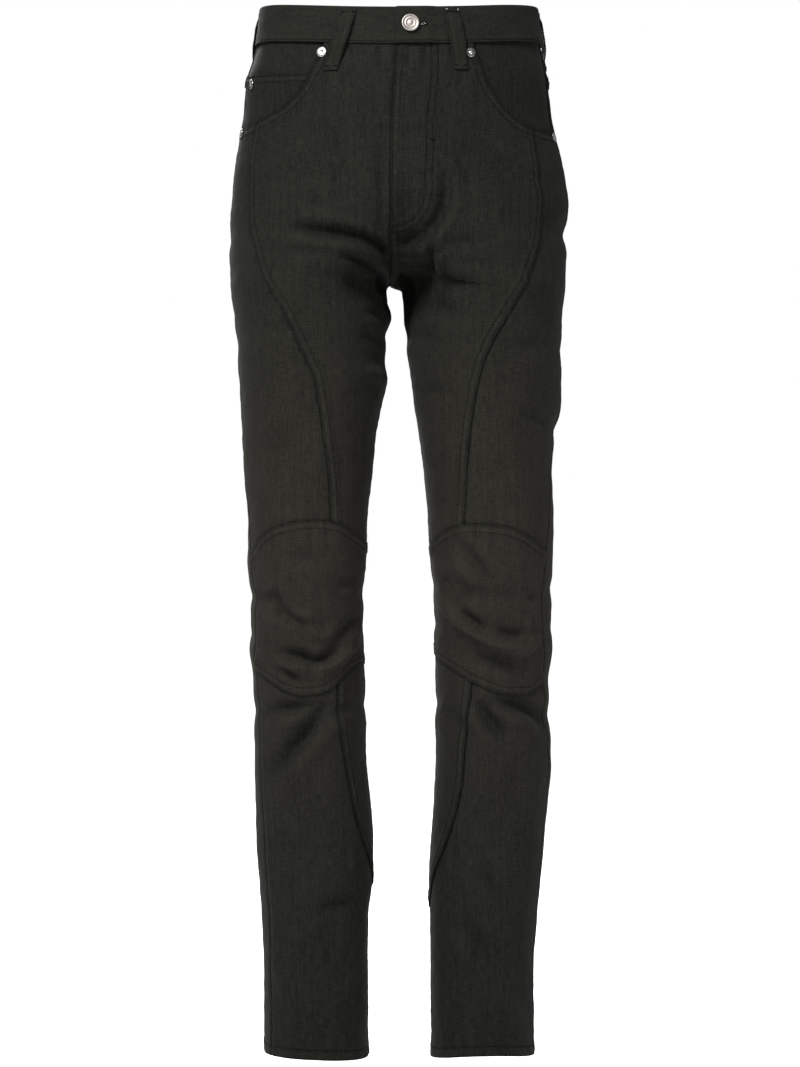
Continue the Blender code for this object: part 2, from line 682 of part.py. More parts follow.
def build_facing(side, seam, mouth):
    """Hip piece inside the pocket mouth, tucked under the front, and the coin pocket on it."""
    right = seam["side_mouth"]
    shares = np.array(FACING_COLUMNS)
    angle = mouth[0][0] + (right[0][0] - mouth[0][0]) * shares
    top = np.stack([angle, panel_top(angle)], axis=-1)
    right = right.copy()
    right[0] = top[-1]
    grid = patch(mouth, right, top, seam["mouth_low"])
    recess = np.interp(shares, [0, 0.8, 0.92, 1], [-RECESS, -RECESS, -1.1, 0.0])
    recess = np.broadcast_to(recess, grid.shape[:2])
    inside = pulled_in(side, grid)

    if side == "right":
        pocket = inside[2:, :-1]
        lift = recess[2:, :-1] + LAP_GAP
        cloth("coin_pocket_right", side, pocket, "hips", lift + 1.1, lift)

    near, next_in = inside[:, 0], grid[:, 1]
    span = base_point(side, next_in[:, 0], next_in[:, 1]) - base_point(side, near[:, 0], near[:, 1])
    tuck = near - (next_in - near) * (FACING_UNDERLAP / np.linalg.norm(span, axis=-1))[:, None]
    tuck[0] = inside[0, 0] - (4.0, 0.0)
    wide = np.concatenate([tuck[:, None], inside], axis=1)
    reach = np.interp([0, *shares], [0, 0.59, 0.6, 0.8, 1], [1, 1, 1, 0, 0]) * FACING_UNDERLAP
    low = wide[-1].copy()
    wide[-1] = wide[-1] + (0.0, 0.5)
    low[:, 1] -= np.maximum(reach, 0.0)
    last = np.where((reach > 0)[:, None], low, wide[-1] - (0.0, 0.5))
    wide = np.concatenate([wide, last[None]], axis=0)
    depth = np.concatenate([recess[:, :1], recess], axis=1)
    depth = np.concatenate([depth, depth[-1:]], axis=0)
    cloth("pocket_facing_" + side, side, wide, "hips", depth, depth - CLOTH)


def build_knee(side, seam):
    """Arched knee panel."""
    top = np.vstack([seam["knee_top_in"], seam["knee_top_out"][1:]])
    low = np.vstack([seam["knee_low_in"], seam["knee_low_out"][1:]])
    grid = patch(seam["inseam_knee"], seam["side_knee"], top, low)
    cloth("knee_" + side, side, pulled_in(side, grid), "knee")


def build_lower(side, seam):
    """Pointed inner panel below the knee, and the shin panel down to the hem."""
    end = seam["inseam_gusset"][-1]
    outer_edge = seam["shin"].copy()
    step = outer_edge[-2] - end
    outer_edge[-1] = end + step * (0.4, 1.0) * (GUSSET_TIP / step[1])
    tip_inner = end + (0.0, GUSSET_TIP)
    across = np.linspace(0, 1, COLUMNS_GUSSET + 1)[:, None]
    tip = tip_inner * (1 - across) + outer_edge[-1] * across
    inner_edge = seam["inseam_gusset"].copy()
    inner_edge[-1] = tip_inner
    grid = patch(inner_edge, outer_edge, seam["knee_low_in"], tip)
    cloth("gusset_" + side, side, pulled_in(side, grid), "shin")

    left = np.vstack([seam["shin"], seam["inseam_ankle"][1:]])
    left[ROWS_GUSSET] = end
    right = seam["side_shin"]
    angle = np.linspace(-90, right[-1][0], COLUMNS_SHIN + 1)
    hem = np.stack([angle, hem_height(side, angle)], axis=-1)
    grid = patch(left, right, seam["knee_low_out"], hem)
    grid[-2, :, 1] = grid[-1, :, 1] + HEM_HEIGHT
    stacked_cloth(SHIN_PARTS, side, grid, "shin", hem_wall(grid))


def build_back(side, seam):
    """Back yoke, and the back leg from the yoke to the hem."""
    side_edge = np.vstack([seam["side_mouth"], seam["side_thigh"][1:], seam["side_knee"][1:],
                           seam["side_shin"][1:]])
    top_centre = float(panel_top(180.0))
    yoke_z = np.linspace(top_centre, top_centre - YOKE_DROP_CENTRE, ROWS_YOKE + 1)
    centre = mirrored(np.stack([start_angle(side, yoke_z), yoke_z], axis=-1))
    share = np.linspace(0, 1, COLUMNS_BACK + 1)
    angle = side_edge[0][0] + (180 - side_edge[0][0]) * share
    top = np.stack([angle, panel_top(angle)], axis=-1)
    start = side_edge[ROWS_YOKE]
    seam_angle = start[0] + (centre[-1][0] - start[0]) * share
    seam_z = start[1] + (centre[-1][1] - start[1]) * (0.75 * share + 0.25 * share ** 2)
    yoke_seam = np.stack([seam_angle, seam_z], axis=-1)
    left = side_edge[:ROWS_YOKE + 1].copy()
    left[0] = top[0]
    grid = patch(left, centre, top, yoke_seam)
    cloth("yoke_" + side, side, pulled_in(side, grid), "hips")

    rows_rise = ROWS_RISE_FRONT - ROWS_YOKE
    spread = through([0, 0.55, 1], [0, 0.68, 1], np.linspace(0, 1, rows_rise + 1))
    rise = yoke_z[-1] + (CROTCH_Z - yoke_z[-1]) * spread
    rise = mirrored(np.stack([start_angle(side, rise), rise], axis=-1))
    inner = [mirrored(seam[name])[1:] for name in
             ("inseam_thigh", "inseam_knee", "inseam_gusset", "inseam_ankle")]
    right = np.vstack([rise, *inner])
    left = side_edge[ROWS_YOKE:]
    angle = np.linspace(left[-1][0], 270, COLUMNS_BACK + 1)
    hem = np.stack([angle, hem_height(side, angle)], axis=-1)
    grid = patch(left, right, yoke_seam, hem)
    grid[..., 0] = np.minimum(grid[..., 0], 180 - start_angle(side, grid[..., 1]))
    grid[-2, :, 1] = grid[-1, :, 1] + HEM_HEIGHT
    stacked_cloth(BACK_PARTS, side, grid, "thigh", hem_wall(grid))


def waist_angles(side, seam):
    """Angles of the panels' top points on one side, from the centre front to the centre back."""
    turn = seam["mouth"][0][0]
    outer = float(of_side(SIDE_SEAM, side, -40.0))
    front = np.linspace(0, turn, COLUMNS_FRONT + 1)
    hip = turn + (outer - turn) * np.array(FACING_COLUMNS)
    back = np.linspace(outer, 180, COLUMNS_BACK + 1)
    return np.concatenate([front[:-1], hip[:-1], back])


def build_waistband(seam_right, seam_left):
    """One strip round the waist; the left end laps over the right end at the fly."""
    right, left = waist_angles("right", seam_right), waist_angles("left", seam_left)
    stations = [("left", angle, 0.0) for angle in left[3:0:-1]]
    stations += [("right", angle, 0.0) for angle in right]
    raised = BAND_OUT - BAND_IN + LAP_GAP + 0.1
    rise = {4: 0.45}
    for index in range(len(left) - 2, -1, -1):
        share = 1.0 if index < 4 else rise.get(index, 0.0)
        stations.append(("left", left[index], raised * share))
    walls = []
    for lift in (BAND_OUT, BAND_IN):
        lanes = []
        for side, angle, extra in stations:
            edge = float(waist_top(angle))
            z = edge - np.array([0.0, 0.5, 1.0]) * BAND_HEIGHT
            lanes.append(cloth_point(side, np.full(3, angle), z, np.full(3, lift + extra)))
        walls.append(np.array(lanes).transpose(1, 0, 2))
    shell("waistband", walls[0], walls[1], "band")


def build_shield():
    """Strip behind the fly, from the waistband down to the bar tack."""
    heights = np.linspace(float(panel_top(0.0)), SHIELD_BOTTOM, 12)
    walls = []
    for lift in (-RECESS, -RECESS - CLOTH):
        lanes = []
        for side in ("right", "left"):
            start = start_angle(side, heights)
            _, _, half, _, _, _, _ = section(side, heights)
            for share in (1.0, 0.5, 0.0):
                angle = start + share * np.degrees(SHIELD_HALF / half)
                lanes.append(cloth_point(side, angle, heights, np.full(len(heights), lift)))
        middle = (lanes[2] + lanes[5]) / 2
        walls.append(np.stack([lanes[0], lanes[1], middle, lanes[4], lanes[3]], axis=1))
    shell("fly_shield", walls[0], walls[1], "hips")


def build_loop(name):
    """Belt loop: seated at its ends, standing off the waistband between them."""
    side, angle_top, z_top, angle_low, z_low = LOOPS[name]
    seam_z = float(waist_top(angle_low)) - BAND_HEIGHT
    share = np.array([0.0, 0.07, 0.16, 0.3, 0.45, 0.6, 0.74, 0.88, 1.0])
    z = z_top + (z_low - z_top) * share
    stand = np.interp(share, [0, 0.07, 0.2, 0.3, 0.5, 0.6, 1], [0, 0, 0.8, 1, 1, 0.9, 0])
    seat = np.where(z > seam_z - 1.5, BAND_OUT, 0.0) + LAP_GAP
    low = seat + stand * LOOP_STAND_OFF
    low[5] = BAND_OUT + LAP_GAP + 0.9 * LOOP_STAND_OFF
    low[6] = BAND_OUT + LAP_GAP + 0.2
    low[7:] = LAP_GAP + 0.05
    angle = angle_top + (angle_low - angle_top) * share
    walls = []
    for lift in (low + LOOP_WALL, low):
        middle = cloth_point(side, angle, z, lift)
        ahead = cloth_point(side, angle + 1.0, z, lift) - middle
        ahead /= np.linalg.norm(ahead, axis=-1, keepdims=True)
        lanes = []
        for offset in (-0.5, 0.0, 0.5):
            shift = offset * LOOP_WIDTH
            turn = shift / np.linalg.norm(
                cloth_point(side, angle + 1.0, z, lift) - middle, axis=-1)
            lanes.append(cloth_point(side, angle + turn, z, lift))
        walls.append(np.stack(lanes, axis=1))
    shell(name, walls[0], walls[1], "band")


def lathe(name, side, angle, z, profile, finish, segments=28):
    """Turned solid that stands on the cloth; profile rows are radius, height."""
    place = cloth_point(side, np.array([angle]), np.array([z]))[0]
    axis = base_normal(side, np.array([angle]), np.array([z]))[0]
    across = np.cross((0.0, 0.0, 1.0), axis)
    across /= np.linalg.norm(across)
    up = np.cross(axis, across)
    points, faces = [], []
    for radius, height in profile:
        for k in range(segments):
            turn = 2 * math.pi * k / segments
            points.append(place + axis * height + (across * math.cos(turn) + up * math.sin(turn)) * radius)
    rings = len(profile)
    for r in range(rings - 1):
        for k in range(segments):
            a, b = r * segments + k, r * segments + (k + 1) % segments
            faces.append((a, b, b + segments, a + segments))
    faces.append(tuple(range(segments)))
    faces.append(tuple((rings - 1) * segments + k for k in reversed(range(segments))))
    return make_mesh(name, points, faces, finish)


def build_trims():
    """Waist button and rivets."""
    seat = 2 * BAND_OUT - BAND_IN + 2 * LAP_GAP + 0.1
    lathe("waist_button", "left", 4.4, -30.8, [
        (4.0, seat), (4.0, seat + 1.2), (BUTTON_RADIUS - 0.8, seat + 1.4),
        (BUTTON_RADIUS, seat + 2.1), (BUTTON_RADIUS - 0.7, seat + 3.1),
        (BUTTON_RADIUS - 2.2, seat + 3.2), (BUTTON_RADIUS - 3.2, seat + 2.7), (2.2, seat + 2.9),
    ], "button", 28)
    for name, (side, angle, z, radius, rise) in RIVETS.items():
        lathe(name, side, angle, z, [
            (radius, rise), (radius, rise + 0.5), (radius - 0.9, rise + 1.3),
            (radius - 2.4, rise + 1.5),
        ], "rivet", 16)


def main():
    """Clear the scene and build every piece."""
    for item in list(bpy.data.objects):
        bpy.data.objects.remove(item, do_unlink=True)
    every_seam = {side: seams(side) for side in ("right", "left")}
    for side, seam in every_seam.items():
        mouth = build_front(side, seam)
        build_side_front(side, seam)
        build_facing(side, seam, mouth)
        build_knee(side, seam)
        build_lower(side, seam)
        build_back(side, seam)
    build_waistband(every_seam["right"], every_seam["left"])
    build_shield()
    for name in LOOPS:
        build_loop(name)
    build_trims()


main()
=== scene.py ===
"""Looks of the charcoal skinny trousers: cloth, seams, stitching, trims and the studio.

Every piece of cloth is laid on the form that the solids have. A place on the form is an angle
round one side's level section, in degrees, and a height. The angle is -90 at the inseam, 0 at
the front, 90 at the outer side, 180 at the back and 270 at the inseam again. The wearer's right
leg is at x < 0. Tables and places are in millimetres, and meshes are in metres.
"""
from __future__ import annotations

import logging
import math
from dataclasses import dataclass, field
from enum import Enum

import bmesh
import bpy
import numpy as np
from mathutils import Matrix, Vector

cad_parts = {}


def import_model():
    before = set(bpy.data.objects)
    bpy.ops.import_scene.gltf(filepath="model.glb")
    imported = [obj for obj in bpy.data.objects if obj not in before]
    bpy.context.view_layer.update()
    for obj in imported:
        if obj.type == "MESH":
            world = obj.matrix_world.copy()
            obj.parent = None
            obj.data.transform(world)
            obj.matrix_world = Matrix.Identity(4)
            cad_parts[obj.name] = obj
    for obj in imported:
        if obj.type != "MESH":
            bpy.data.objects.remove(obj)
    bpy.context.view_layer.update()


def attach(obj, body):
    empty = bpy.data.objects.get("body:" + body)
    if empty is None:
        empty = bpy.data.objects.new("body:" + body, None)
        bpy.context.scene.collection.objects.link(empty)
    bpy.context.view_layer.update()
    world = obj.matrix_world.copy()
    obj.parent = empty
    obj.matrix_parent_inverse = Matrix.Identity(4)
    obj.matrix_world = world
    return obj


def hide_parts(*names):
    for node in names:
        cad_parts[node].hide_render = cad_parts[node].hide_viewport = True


log = logging.getLogger("trousers")

MM = 0.001
BODY = "root"

CROTCH_Z = -285.5
RISE_BLEND = 100.0
SQUARE = 0.92
WAIST_DIP_FRONT = 12.5
WAIST_RISE_BACK = 9.0
BAND_HEIGHT = 38.0
BAND_COVERS = 6.0
YOKE_DROP_CENTRE = 66.0
GRAIN_LINE = 88.0
TIP_LENGTH = 14.0
# Painted light: the cloth is lighter round the knees and darker towards the hips and the hem.
PAINTED_LIGHT, PAINTED_LIGHT_Z, PAINTED_LIGHT_REACH = 0.9, 590.0, 275.0
CROTCH_SHADE, SHADE_X, SHADE_Z, SHADE_REACH = 0.9, -9.0, -262.0, 42.0
# Lighter on fold ridges like rubbed cloth, and painted shade in the fold troughs.
FOLD_WEAR_AND_SHADE = 0.12

OUTLINE = (
    # z, right_out, left_out, front, back
    (20, 143, 141, -88, 92),
    (0, 144.2, 142, -90, 94),
    (-17, 145.5, 143.2, -92, 96),
    (-37, 148.5, 146, -95, 99),
    (-53, 153, 149.5, -98, 102),
    (-74, 159.5, 153.5, -102, 105),
    (-95, 161.5, 155.5, -104, 109),
    (-115, 163.5, 158, -105, 113),
    (-136, 167, 163, -106, 117),
    (-157, 170.5, 168.5, -107, 120),
    (-178, 173.5, 172.5, -108, 123),
    (-204, 175.5, 175.5, -108, 126),
    (-235, 177, 171.5, -107, 128),
    (-261, 177, 173, -105, 127),
    (-287, 176.5, 172.5, -102, 124),
    (-323, 171.5, 168, -99, 114),
    (-365, 168.5, 168, -96, 104),
    (-407, 165.5, 167, -93, 94),
    (-448, 164, 160, -90, 86),
    (-490, 161, 158, -87, 78),
    (-531, 157.5, 159, -85, 70),
    (-573, 158.5, 158.5, -84, 65),
    (-615, 153.5, 156.5, -82, 62),
    (-667, 156, 158, -78, 61),
    (-698, 152, 154, -75, 63),
    (-739, 151.5, 155.5, -72, 66),
    (-781, 151, 157, -69, 69),
    (-823, 150.5, 154, -67, 70),
    (-864, 149.5, 150, -64, 70),
    (-906, 146.5, 146.5, -63, 69),
    (-947, 143.5, 142.5, -62, 67),
    (-989, 142, 139.5, -62, 65),
    (-1031, 141.5, 139.5, -62, 63),
    (-1092, 141, 139, -62, 62),
)
INSEAM = (
    # z, right_in, left_in
    (-285.5, 9.4, -9.4),
    (-287.5, 12.8, -3.5),
    (-291, 14.2, 2),
    (-303, 13.5, 3),
    (-318, 9.4, 4.5),
    (-344, 14.5, 6.5),
    (-365, 16.5, 9.4),
    (-385, 13.5, 12),
    (-407, 18.7, 14.6),
    (-448, 26, 20.8),
    (-490, 30, 26),
    (-531, 34.3, 29),
    (-573, 35.4, 32),
    (-615, 38.5, 35.4),
    (-657, 38, 36.4),
    (-698, 36.4, 37.4),
    (-781, 35.4, 37.4),
    (-823, 31, 35.4),
    (-864, 28, 32.2),
    (-906, 29, 30.2),
    (-947, 33.3, 31.2),
    (-1031, 33.3, 32.2),
    (-1092, 32.8, 32.2),
)
CENTRE_LINE = (
    # z, x
    (20, -3.5),
    (-50, -4),
    (-140, -9),
    (-230, -9.5),
    (-285.5, -9.4),
    (-1092, -9.4),
)
SIDE_SEAM = (
    # z, right_angle, left_angle
    (20, 90, 89),
    (-131, 85, 80),
    (-250, 86, 84),
    (-400, 82, 80),
    (-500, 75, 69),
    (-570, 66, 57),
    (-620, 62, 52),
    (-700, 61, 59),
    (-800, 57, 69),
    (-900, 54, 70),
    (-1092, 54, 72),
)
POCKET_MOUTH = (
    # right_angle, right_z, left_angle, left_z
    (27.2, -42.5, 28, -42.5),
    (29.4, -66, 30.9, -65.6),
    (32, -81.8, 33.8, -86),
    (36, -97, 38.3, -103.5),
    (42, -109.5, 43.5, -117),
    (50, -118, 50, -127),
    (60, -124.5, 57, -131.5),
    (70, -128, 66, -133),
    (85, -130, 80, -133),
)
MOUTH_TURN = 6
THIGH_SEAM = (
    # z, right_angle, left_angle
    (-120, 60, 57),
    (-158, 61.3, 55.2),
    (-184, 60.3, 54.8),
    (-210, 57, 53.5),
    (-232, 52.3, 51.6),
    (-250, 46.5, 46.6),
    (-270, 39, 38.4),
    (-296, 26, 25.5),
    (-322, 17.2, 15.5),
    (-350, 7.5, 3.8),
    (-373, 1, -2.8),
    (-393, -3, -7),
    (-417, -7.6, -11),
    (-442, -12, -14),
    (-468, -16, -17.4),
    (-494, -19.5, -20.5),
    (-536, -23, -25),
)
KNEE_TOP = (
    # right_angle, right_z, left_angle, left_z
    (-90, -554.5, -90, -560),
    (-71, -552.5, -58, -548),
    (-53, -545.5, -44.6, -542),
    (-36, -537, -31.6, -537),
    (-23, -533, -25, -536),
    (-7, -531.7, -15, -535.6),
    (6.4, -533, 0, -536.5),
    (20, -536, 11.7, -538.7),
    (33, -541, 25.3, -544.3),
    (44, -548, 36, -550.4),
    (53, -557, 46, -556.5),
    (67, -569, 59, -563.5),
)
KNEE_TOP_MEETS_THIGH = 4
KNEE_LOW = (
    # right_angle, right_z, left_angle, left_z
    (-90, -680, -90, -669),
    (-66, -680, -69, -676),
    (-47.4, -686, -48, -682.5),
    (-30.5, -698, -20.6, -696.5),
    (-20, -705, -10, -701.5),
    (-8, -709, 5.2, -708),
    (5, -710, 19.4, -709.8),
    (21, -706, 30, -709.8),
    (35.4, -699, 36.5, -708.8),
    (62, -684, 59, -698),
)
KNEE_LOW_MEETS_SHIN = 3
SHIN_SEAM = (
    # z, right_angle, left_angle
    (-696, -30.5, -20.6),
    (-722, -29.5, -24),
    (-740, -30.6, -26.5),
    (-760, -34, -28.7),
    (-780, -38, -30.3),
    (-800, -40.7, -31.6),
    (-820, -42.8, -34),
    (-842, -47, -39),
    (-862, -54.6, -46),
    (-880, -67, -54.5),
    (-900, -81, -65.5),
    (-922, -88, -78),
)


class Side(Enum):
    """The wearer's right or left."""

    RIGHT = "right"
    LEFT = "left"

    @property
    def sign(self) -> float:
        """Direction of x on this side."""
        return -1.0 if self is Side.RIGHT else 1.0

    @property
    def column(self) -> int:
        """Column of this side in a table of height, right, left."""
        return 1 if self is Side.RIGHT else 2

    @property
    def other(self) -> Side:
        """The opposite side."""
        return Side.LEFT if self is Side.RIGHT else Side.RIGHT


class View(Enum):
    """The side a fold is seen from, and the two axes of its path."""

    FRONT = "front"
    BACK = "back"
    OUTER = "outer"
    INNER = "inner"


class Edge(Enum):
    """How an edge of a panel is sewn or finished."""

    OVER = "lapped on top of its neighbour, with two rows of stitching"
    UNDER = "runs in under its neighbour"
    PLAIN = "pressed seam, edge to edge"
    FOLD = "free folded edge with two rows of stitching"
    CAUGHT = "caught under the waistband"
    HEM = "turned up and stitched"
    ROW = "row of stitching inside the panel"


SEAM_END_Z = {Side.RIGHT: -912.0, Side.LEFT: -934.0}
# side: height at the sides, how much higher outside than inside, how much higher in front
HEMS = {Side.RIGHT: (-1084.5, 2.6, 1.5), Side.LEFT: (-1086.0, 1.2, 7.0)}


@dataclass(frozen=True)
class Fold:
    """A soft trough or ridge in the cloth along a path seen from one view."""

    path: tuple[tuple[float, float], ...]
    width: float
    height: float
    lip: float = 0.35
    kept: tuple[float, float] = (0.12, 0.12)
    steep: float = 1.35


R, L = Side.RIGHT, Side.LEFT
# side, view: its folds, whose paths are x and z, or depth and z from the outer and inner sides
FOLDS = {
    (R, View.FRONT): (
        # Crotch and hips.
        Fold(((-112, -237), (-85, -240), (-56, -244.5), (-37, -249.5), (-21, -258), (-11, -266)),
             7, -11.0, 0.4, (0.05, 1.0), 1.6),
        Fold(((-66, -252), (-44, -254.5), (-28, -261), (-14, -270)), 4.0, 2.6, 0.0, (0.0, 0.8)),
        Fold(((-62, -264), (-50, -267), (-37, -272), (-23, -281), (-13, -291)),
             5.5, -7.8, 0.3, (0.05, 1.0), 1.5),
        Fold(((-58, -284), (-38, -286), (-14, -294)), 12, -6.0, 0.0, (0.2, 1.0), 0.5),
        Fold(((-101, -203), (-90, -210), (-80, -220)), 8, -2.3),
        Fold(((-125, -264), (-95, -261), (-62, -260)), 7, -1.7),
        Fold(((-88, -248), (-70, -251), (-52, -257)), 6, -1.9),
        Fold(((-17, -128), (-18, -180), (-18, -236)), 6, -3.0, 0.2, (0.1, 0.8)),
        Fold(((-58, -142), (-64, -178), (-56, -212)), 11, -1.7),
        # Inner thigh wrinkles.
        Fold(((-34, -316), (-22, -321), (-12, -324)), 6.5, -4.3),
        Fold(((-36, -376), (-24, -382), (-14, -387)), 7, 3.6),
        Fold(((-40, -342), (-27, -346), (-16, -352)), 6, -2.7),
        Fold(((-140, -332), (-120, -338), (-98, -336)), 9, -2.0),
        Fold(((-150, -452), (-128, -458), (-104, -456)), 10, -2.0),
        # Knees.
        Fold(((-147, -611), (-131, -611), (-119, -627), (-97, -637)), 6.5, -7.6),
        Fold(((-111, -624), (-98, -629), (-85, -630)), 6, 5.2, 0.0),
        Fold(((-64, -599), (-53, -598), (-44, -596)), 5, -2.3),
        Fold(((-61, -652), (-52, -641), (-44, -630)), 6, -6.4),
        Fold(((-126, -667), (-104, -670), (-87, -677), (-70, -669), (-61, -653)), 6.5, -10.4),
        Fold(((-129, -674), (-99, -681), (-75, -680), (-46, -659)), 5.0, 8.2, 0.0),
        Fold(((-124, -682), (-113, -687), (-103, -692)), 5, -4.4),
        Fold(((-139, -655), (-135, -658), (-131, -661)), 5, -2.6),
        Fold(((-120, -566), (-98, -571), (-70, -568)), 9, -2.6),
        Fold(((-92, -647), (-78, -650), (-66, -643)), 6, 3.6, 0.0),
        # Below the knees.
        Fold(((-139, -726), (-112, -723), (-84, -720)), 7, -8.5),
        Fold(((-69, -715), (-96, -749), (-120, -777), (-131, -795)), 9, -11.0),
        Fold(((-76, -736), (-60, -728), (-46, -722)), 7, -3.2),
        Fold(((-84, -929), (-64, -926), (-46, -925)), 7, -5.2),
        Fold(((-46, -979), (-51, -1003), (-57, -1027)), 7, 2.6, 0.0),
        Fold(((-127, -986), (-122, -1006), (-117, -1027)), 7, 2.4, 0.0),
        Fold(((-126, -858), (-104, -870), (-84, -890)), 10, -2.2),
    ),
    (L, View.FRONT): (
        # Crotch and hips.
        Fold(((45, -176), (46, -206), (38, -229), (25, -242), (4, -253)), 7, -7.8, 0.3, (0.1, 0.8), 1.2),
        Fold(((-1, -285), (14, -284), (31, -286)), 17, -14.5, 0.0, (1.0, 0.5), 0.45),
        Fold(((29, -248), (32, -264), (29, -284)), 5.0, -5.4, 0.5, (0.6, 0.8)),
        Fold(((20, -250), (23, -262), (21, -274)), 4, 1.7, 0.0, (0.2, 0.2)),
        Fold(((38, -253), (62, -252), (86, -251)), 7.5, -3.5),
        Fold(((41, -292), (62, -293), (83, -294)), 8, -3.2),
        Fold(((20, -308), (38, -317), (57, -326)), 8, -3.5),
        Fold(((48, -268), (70, -272), (98, -270)), 7, -2.0),
        Fold(((12, -52), (13, -76), (12, -104)), 7, 1.6, 0.0),
        Fold(((9, -198), (9, -222), (9, -248)), 15, -5.0, 0.0, (0.1, 1.0)),
        Fold(((58, -150), (66, -182), (62, -214)), 10, -1.7),
        # Inner thigh wrinkles.
        Fold(((10, -338), (22, -344), (38, -349)), 7, -2.5),
        Fold(((14, -392), (28, -399), (44, -402)), 8, -2.2),
        Fold(((104, -352), (126, -356), (150, -350)), 9, -2.2),
        Fold(((120, -424), (142, -430), (158, -434)), 7, -3.2),
        Fold(((70, -478), (92, -484), (116, -480)), 10, -1.8),
        # Knees.
        Fold(((58, -553), (75, -574), (94, -597)), 7, -6.0),
        Fold(((58, -606), (88, -608), (124, -611)), 9, -3.6),
        Fold(((38, -609), (51, -625), (70, -642), (94, -657), (124, -664), (136, -657), (143, -647)),
             6.0, 9.6, 0.0),
        Fold(((61, -623), (72, -634), (85, -645)), 6, -8.0),
        Fold(((98, -643), (114, -649), (127, -648)), 5.5, -6.0),
        Fold(((66, -669), (94, -674), (122, -687)), 7, -6.8),
        Fold(((130, -608), (135, -611), (141, -612)), 5, -3.2),
        Fold(((129, -627), (131, -637), (132, -647)), 3.6, 3.2, 0.0),
        Fold(((138, -622), (139, -632), (139, -642)), 3.6, 2.8, 0.0),
        Fold(((44, -592), (47, -594), (52, -595)), 5, -2.0),
        Fold(((42, -574), (60, -584), (78, -602)), 7, 2.8, 0.0),
        # Below the knees.
        Fold(((92, -715), (120, -721), (140, -731), (149, -746)), 7.5, -10.5),
        Fold(((77, -715), (92, -737), (106, -756)), 8, -10.5),
        Fold(((44, -724), (58, -736), (68, -754)), 8, -3.9),
        Fold(((76, -880), (93, -903), (106, -924)), 9, -4.8),
        Fold(((50, -944), (76, -960), (98, -986)), 9, -3.8),
        Fold(((100, -1006), (112, -1026), (120, -1048)), 9, 2.2, 0.0),
    ),
    (R, View.BACK): (
        # Seat and thigh.
        Fold(((-20, -322), (-46, -310), (-84, -305), (-132, -306)), 10, -4.0),
        Fold(((-24, -345), (-62, -334), (-120, -330)), 8, 2.4, 0.0),
        Fold(((-22, -300), (-44, -286), (-70, -280)), 8, -2.2),
        Fold(((-26, -366), (-50, -360), (-86, -364)), 9, -1.8),
        Fold(((-48, -452), (-84, -462), (-126, -456)), 12, -1.5),
        # Knee.
        Fold(((-50, -588), (-95, -599), (-136, -592)), 8.5, -4.2),
        Fold(((-50, -612), (-95, -621), (-136, -614)), 7.5, 2.7, 0.0),
        Fold(((-52, -640), (-95, -634), (-138, -646)), 8.5, -4.2),
        Fold(((-45, -676), (-90, -668), (-140, -684)), 8.5, -3.3),
        Fold(((-60, -568), (-92, -574), (-130, -566)), 8, -2.2),
        Fold(((-54, -656), (-76, -660), (-98, -654)), 6, -2.2),
        Fold(((-48, -742), (-90, -762), (-138, -772)), 10, -3.1),
        Fold(((-58, -900), (-84, -908), (-120, -902)), 10, -1.5),
    ),
    (L, View.BACK): (
        # Seat and thigh.
        Fold(((12, -322), (38, -309), (78, -304), (128, -308)), 10, -4.0),
        Fold(((16, -347), (58, -335), (116, -332)), 8, 2.4, 0.0),
        Fold(((8, -302), (32, -287), (60, -282)), 8, -2.2),
        Fold(((18, -370), (48, -362), (84, -368)), 9, -1.8),
        Fold(((44, -470), (82, -462), (128, -470)), 12, -1.5),
        # Knee.
        Fold(((50, -594), (95, -585), (136, -598)), 8.5, -4.2),
        Fold(((50, -618), (95, -612), (140, -616)), 7.5, 2.7, 0.0),
        Fold(((50, -636), (95, -647), (142, -638)), 8.5, -4.1),
        Fold(((46, -672), (95, -682), (142, -670)), 8.5, -3.3),
        Fold(((58, -566), (94, -572), (132, -564)), 8, -2.2),
        Fold(((92, -662), (116, -658), (138, -654)), 6, -2.2),
        Fold(((46, -760), (92, -769), (140, -756)), 10, -3.1),
        Fold(((56, -924), (84, -916), (118, -922)), 10, -1.5),
    ),
    (R, View.OUTER): (
        Fold(((-66, -618), (-30, -612), (10, -606)), 8, -1.2),
        Fold(((-60, -662), (-24, -652), (16, -644)), 8, -1.3),
        Fold(((-50, -720), (-10, -730), (34, -748)), 10, -2.0),
        Fold(((-40, -232), (0, -240), (48, -236)), 11, -1.5),
        Fold(((-30, -346), (10, -352), (50, -344)), 11, -1.4),
    ),
    (L, View.OUTER): (
        Fold(((-66, -610), (-28, -604), (12, -598)), 8, -1.3),
        Fold(((-62, -650), (-26, -644), (18, -640)), 8, -1.3),
        Fold(((-48, -724), (-8, -734), (36, -752)), 10, -2.0),
        Fold(((-56, -232), (-10, -236), (44, -230)), 9, -2.2),
        Fold(((-44, -436), (0, -440), (40, -434)), 9, -1.8),
        Fold(((-40, -352), (6, -358), (50, -350)), 11, -1.3),
    ),
    (R, View.INNER): (
        Fold(((-50, -612), (-10, -606), (30, -600)), 8, -1.1),
        Fold(((-50, -650), (-8, -644), (32, -640)), 8, -1.2),
        Fold(((-54, -330), (0, -338), (60, -334)), 9, -2.0),
        Fold(((-44, -716), (0, -724), (40, -740)), 10, -1.8),
    ),
    (L, View.INNER): (
        Fold(((-50, -604), (-10, -598), (30, -594)), 8, -1.1),
        Fold(((-50, -642), (-8, -638), (32, -634)), 8, -1.2),
        Fold(((-54, -334), (0, -342), (60, -338)), 9, -2.0),
        Fold(((-44, -712), (0, -722), (40, -738)), 10, -1.8),
    ),
}


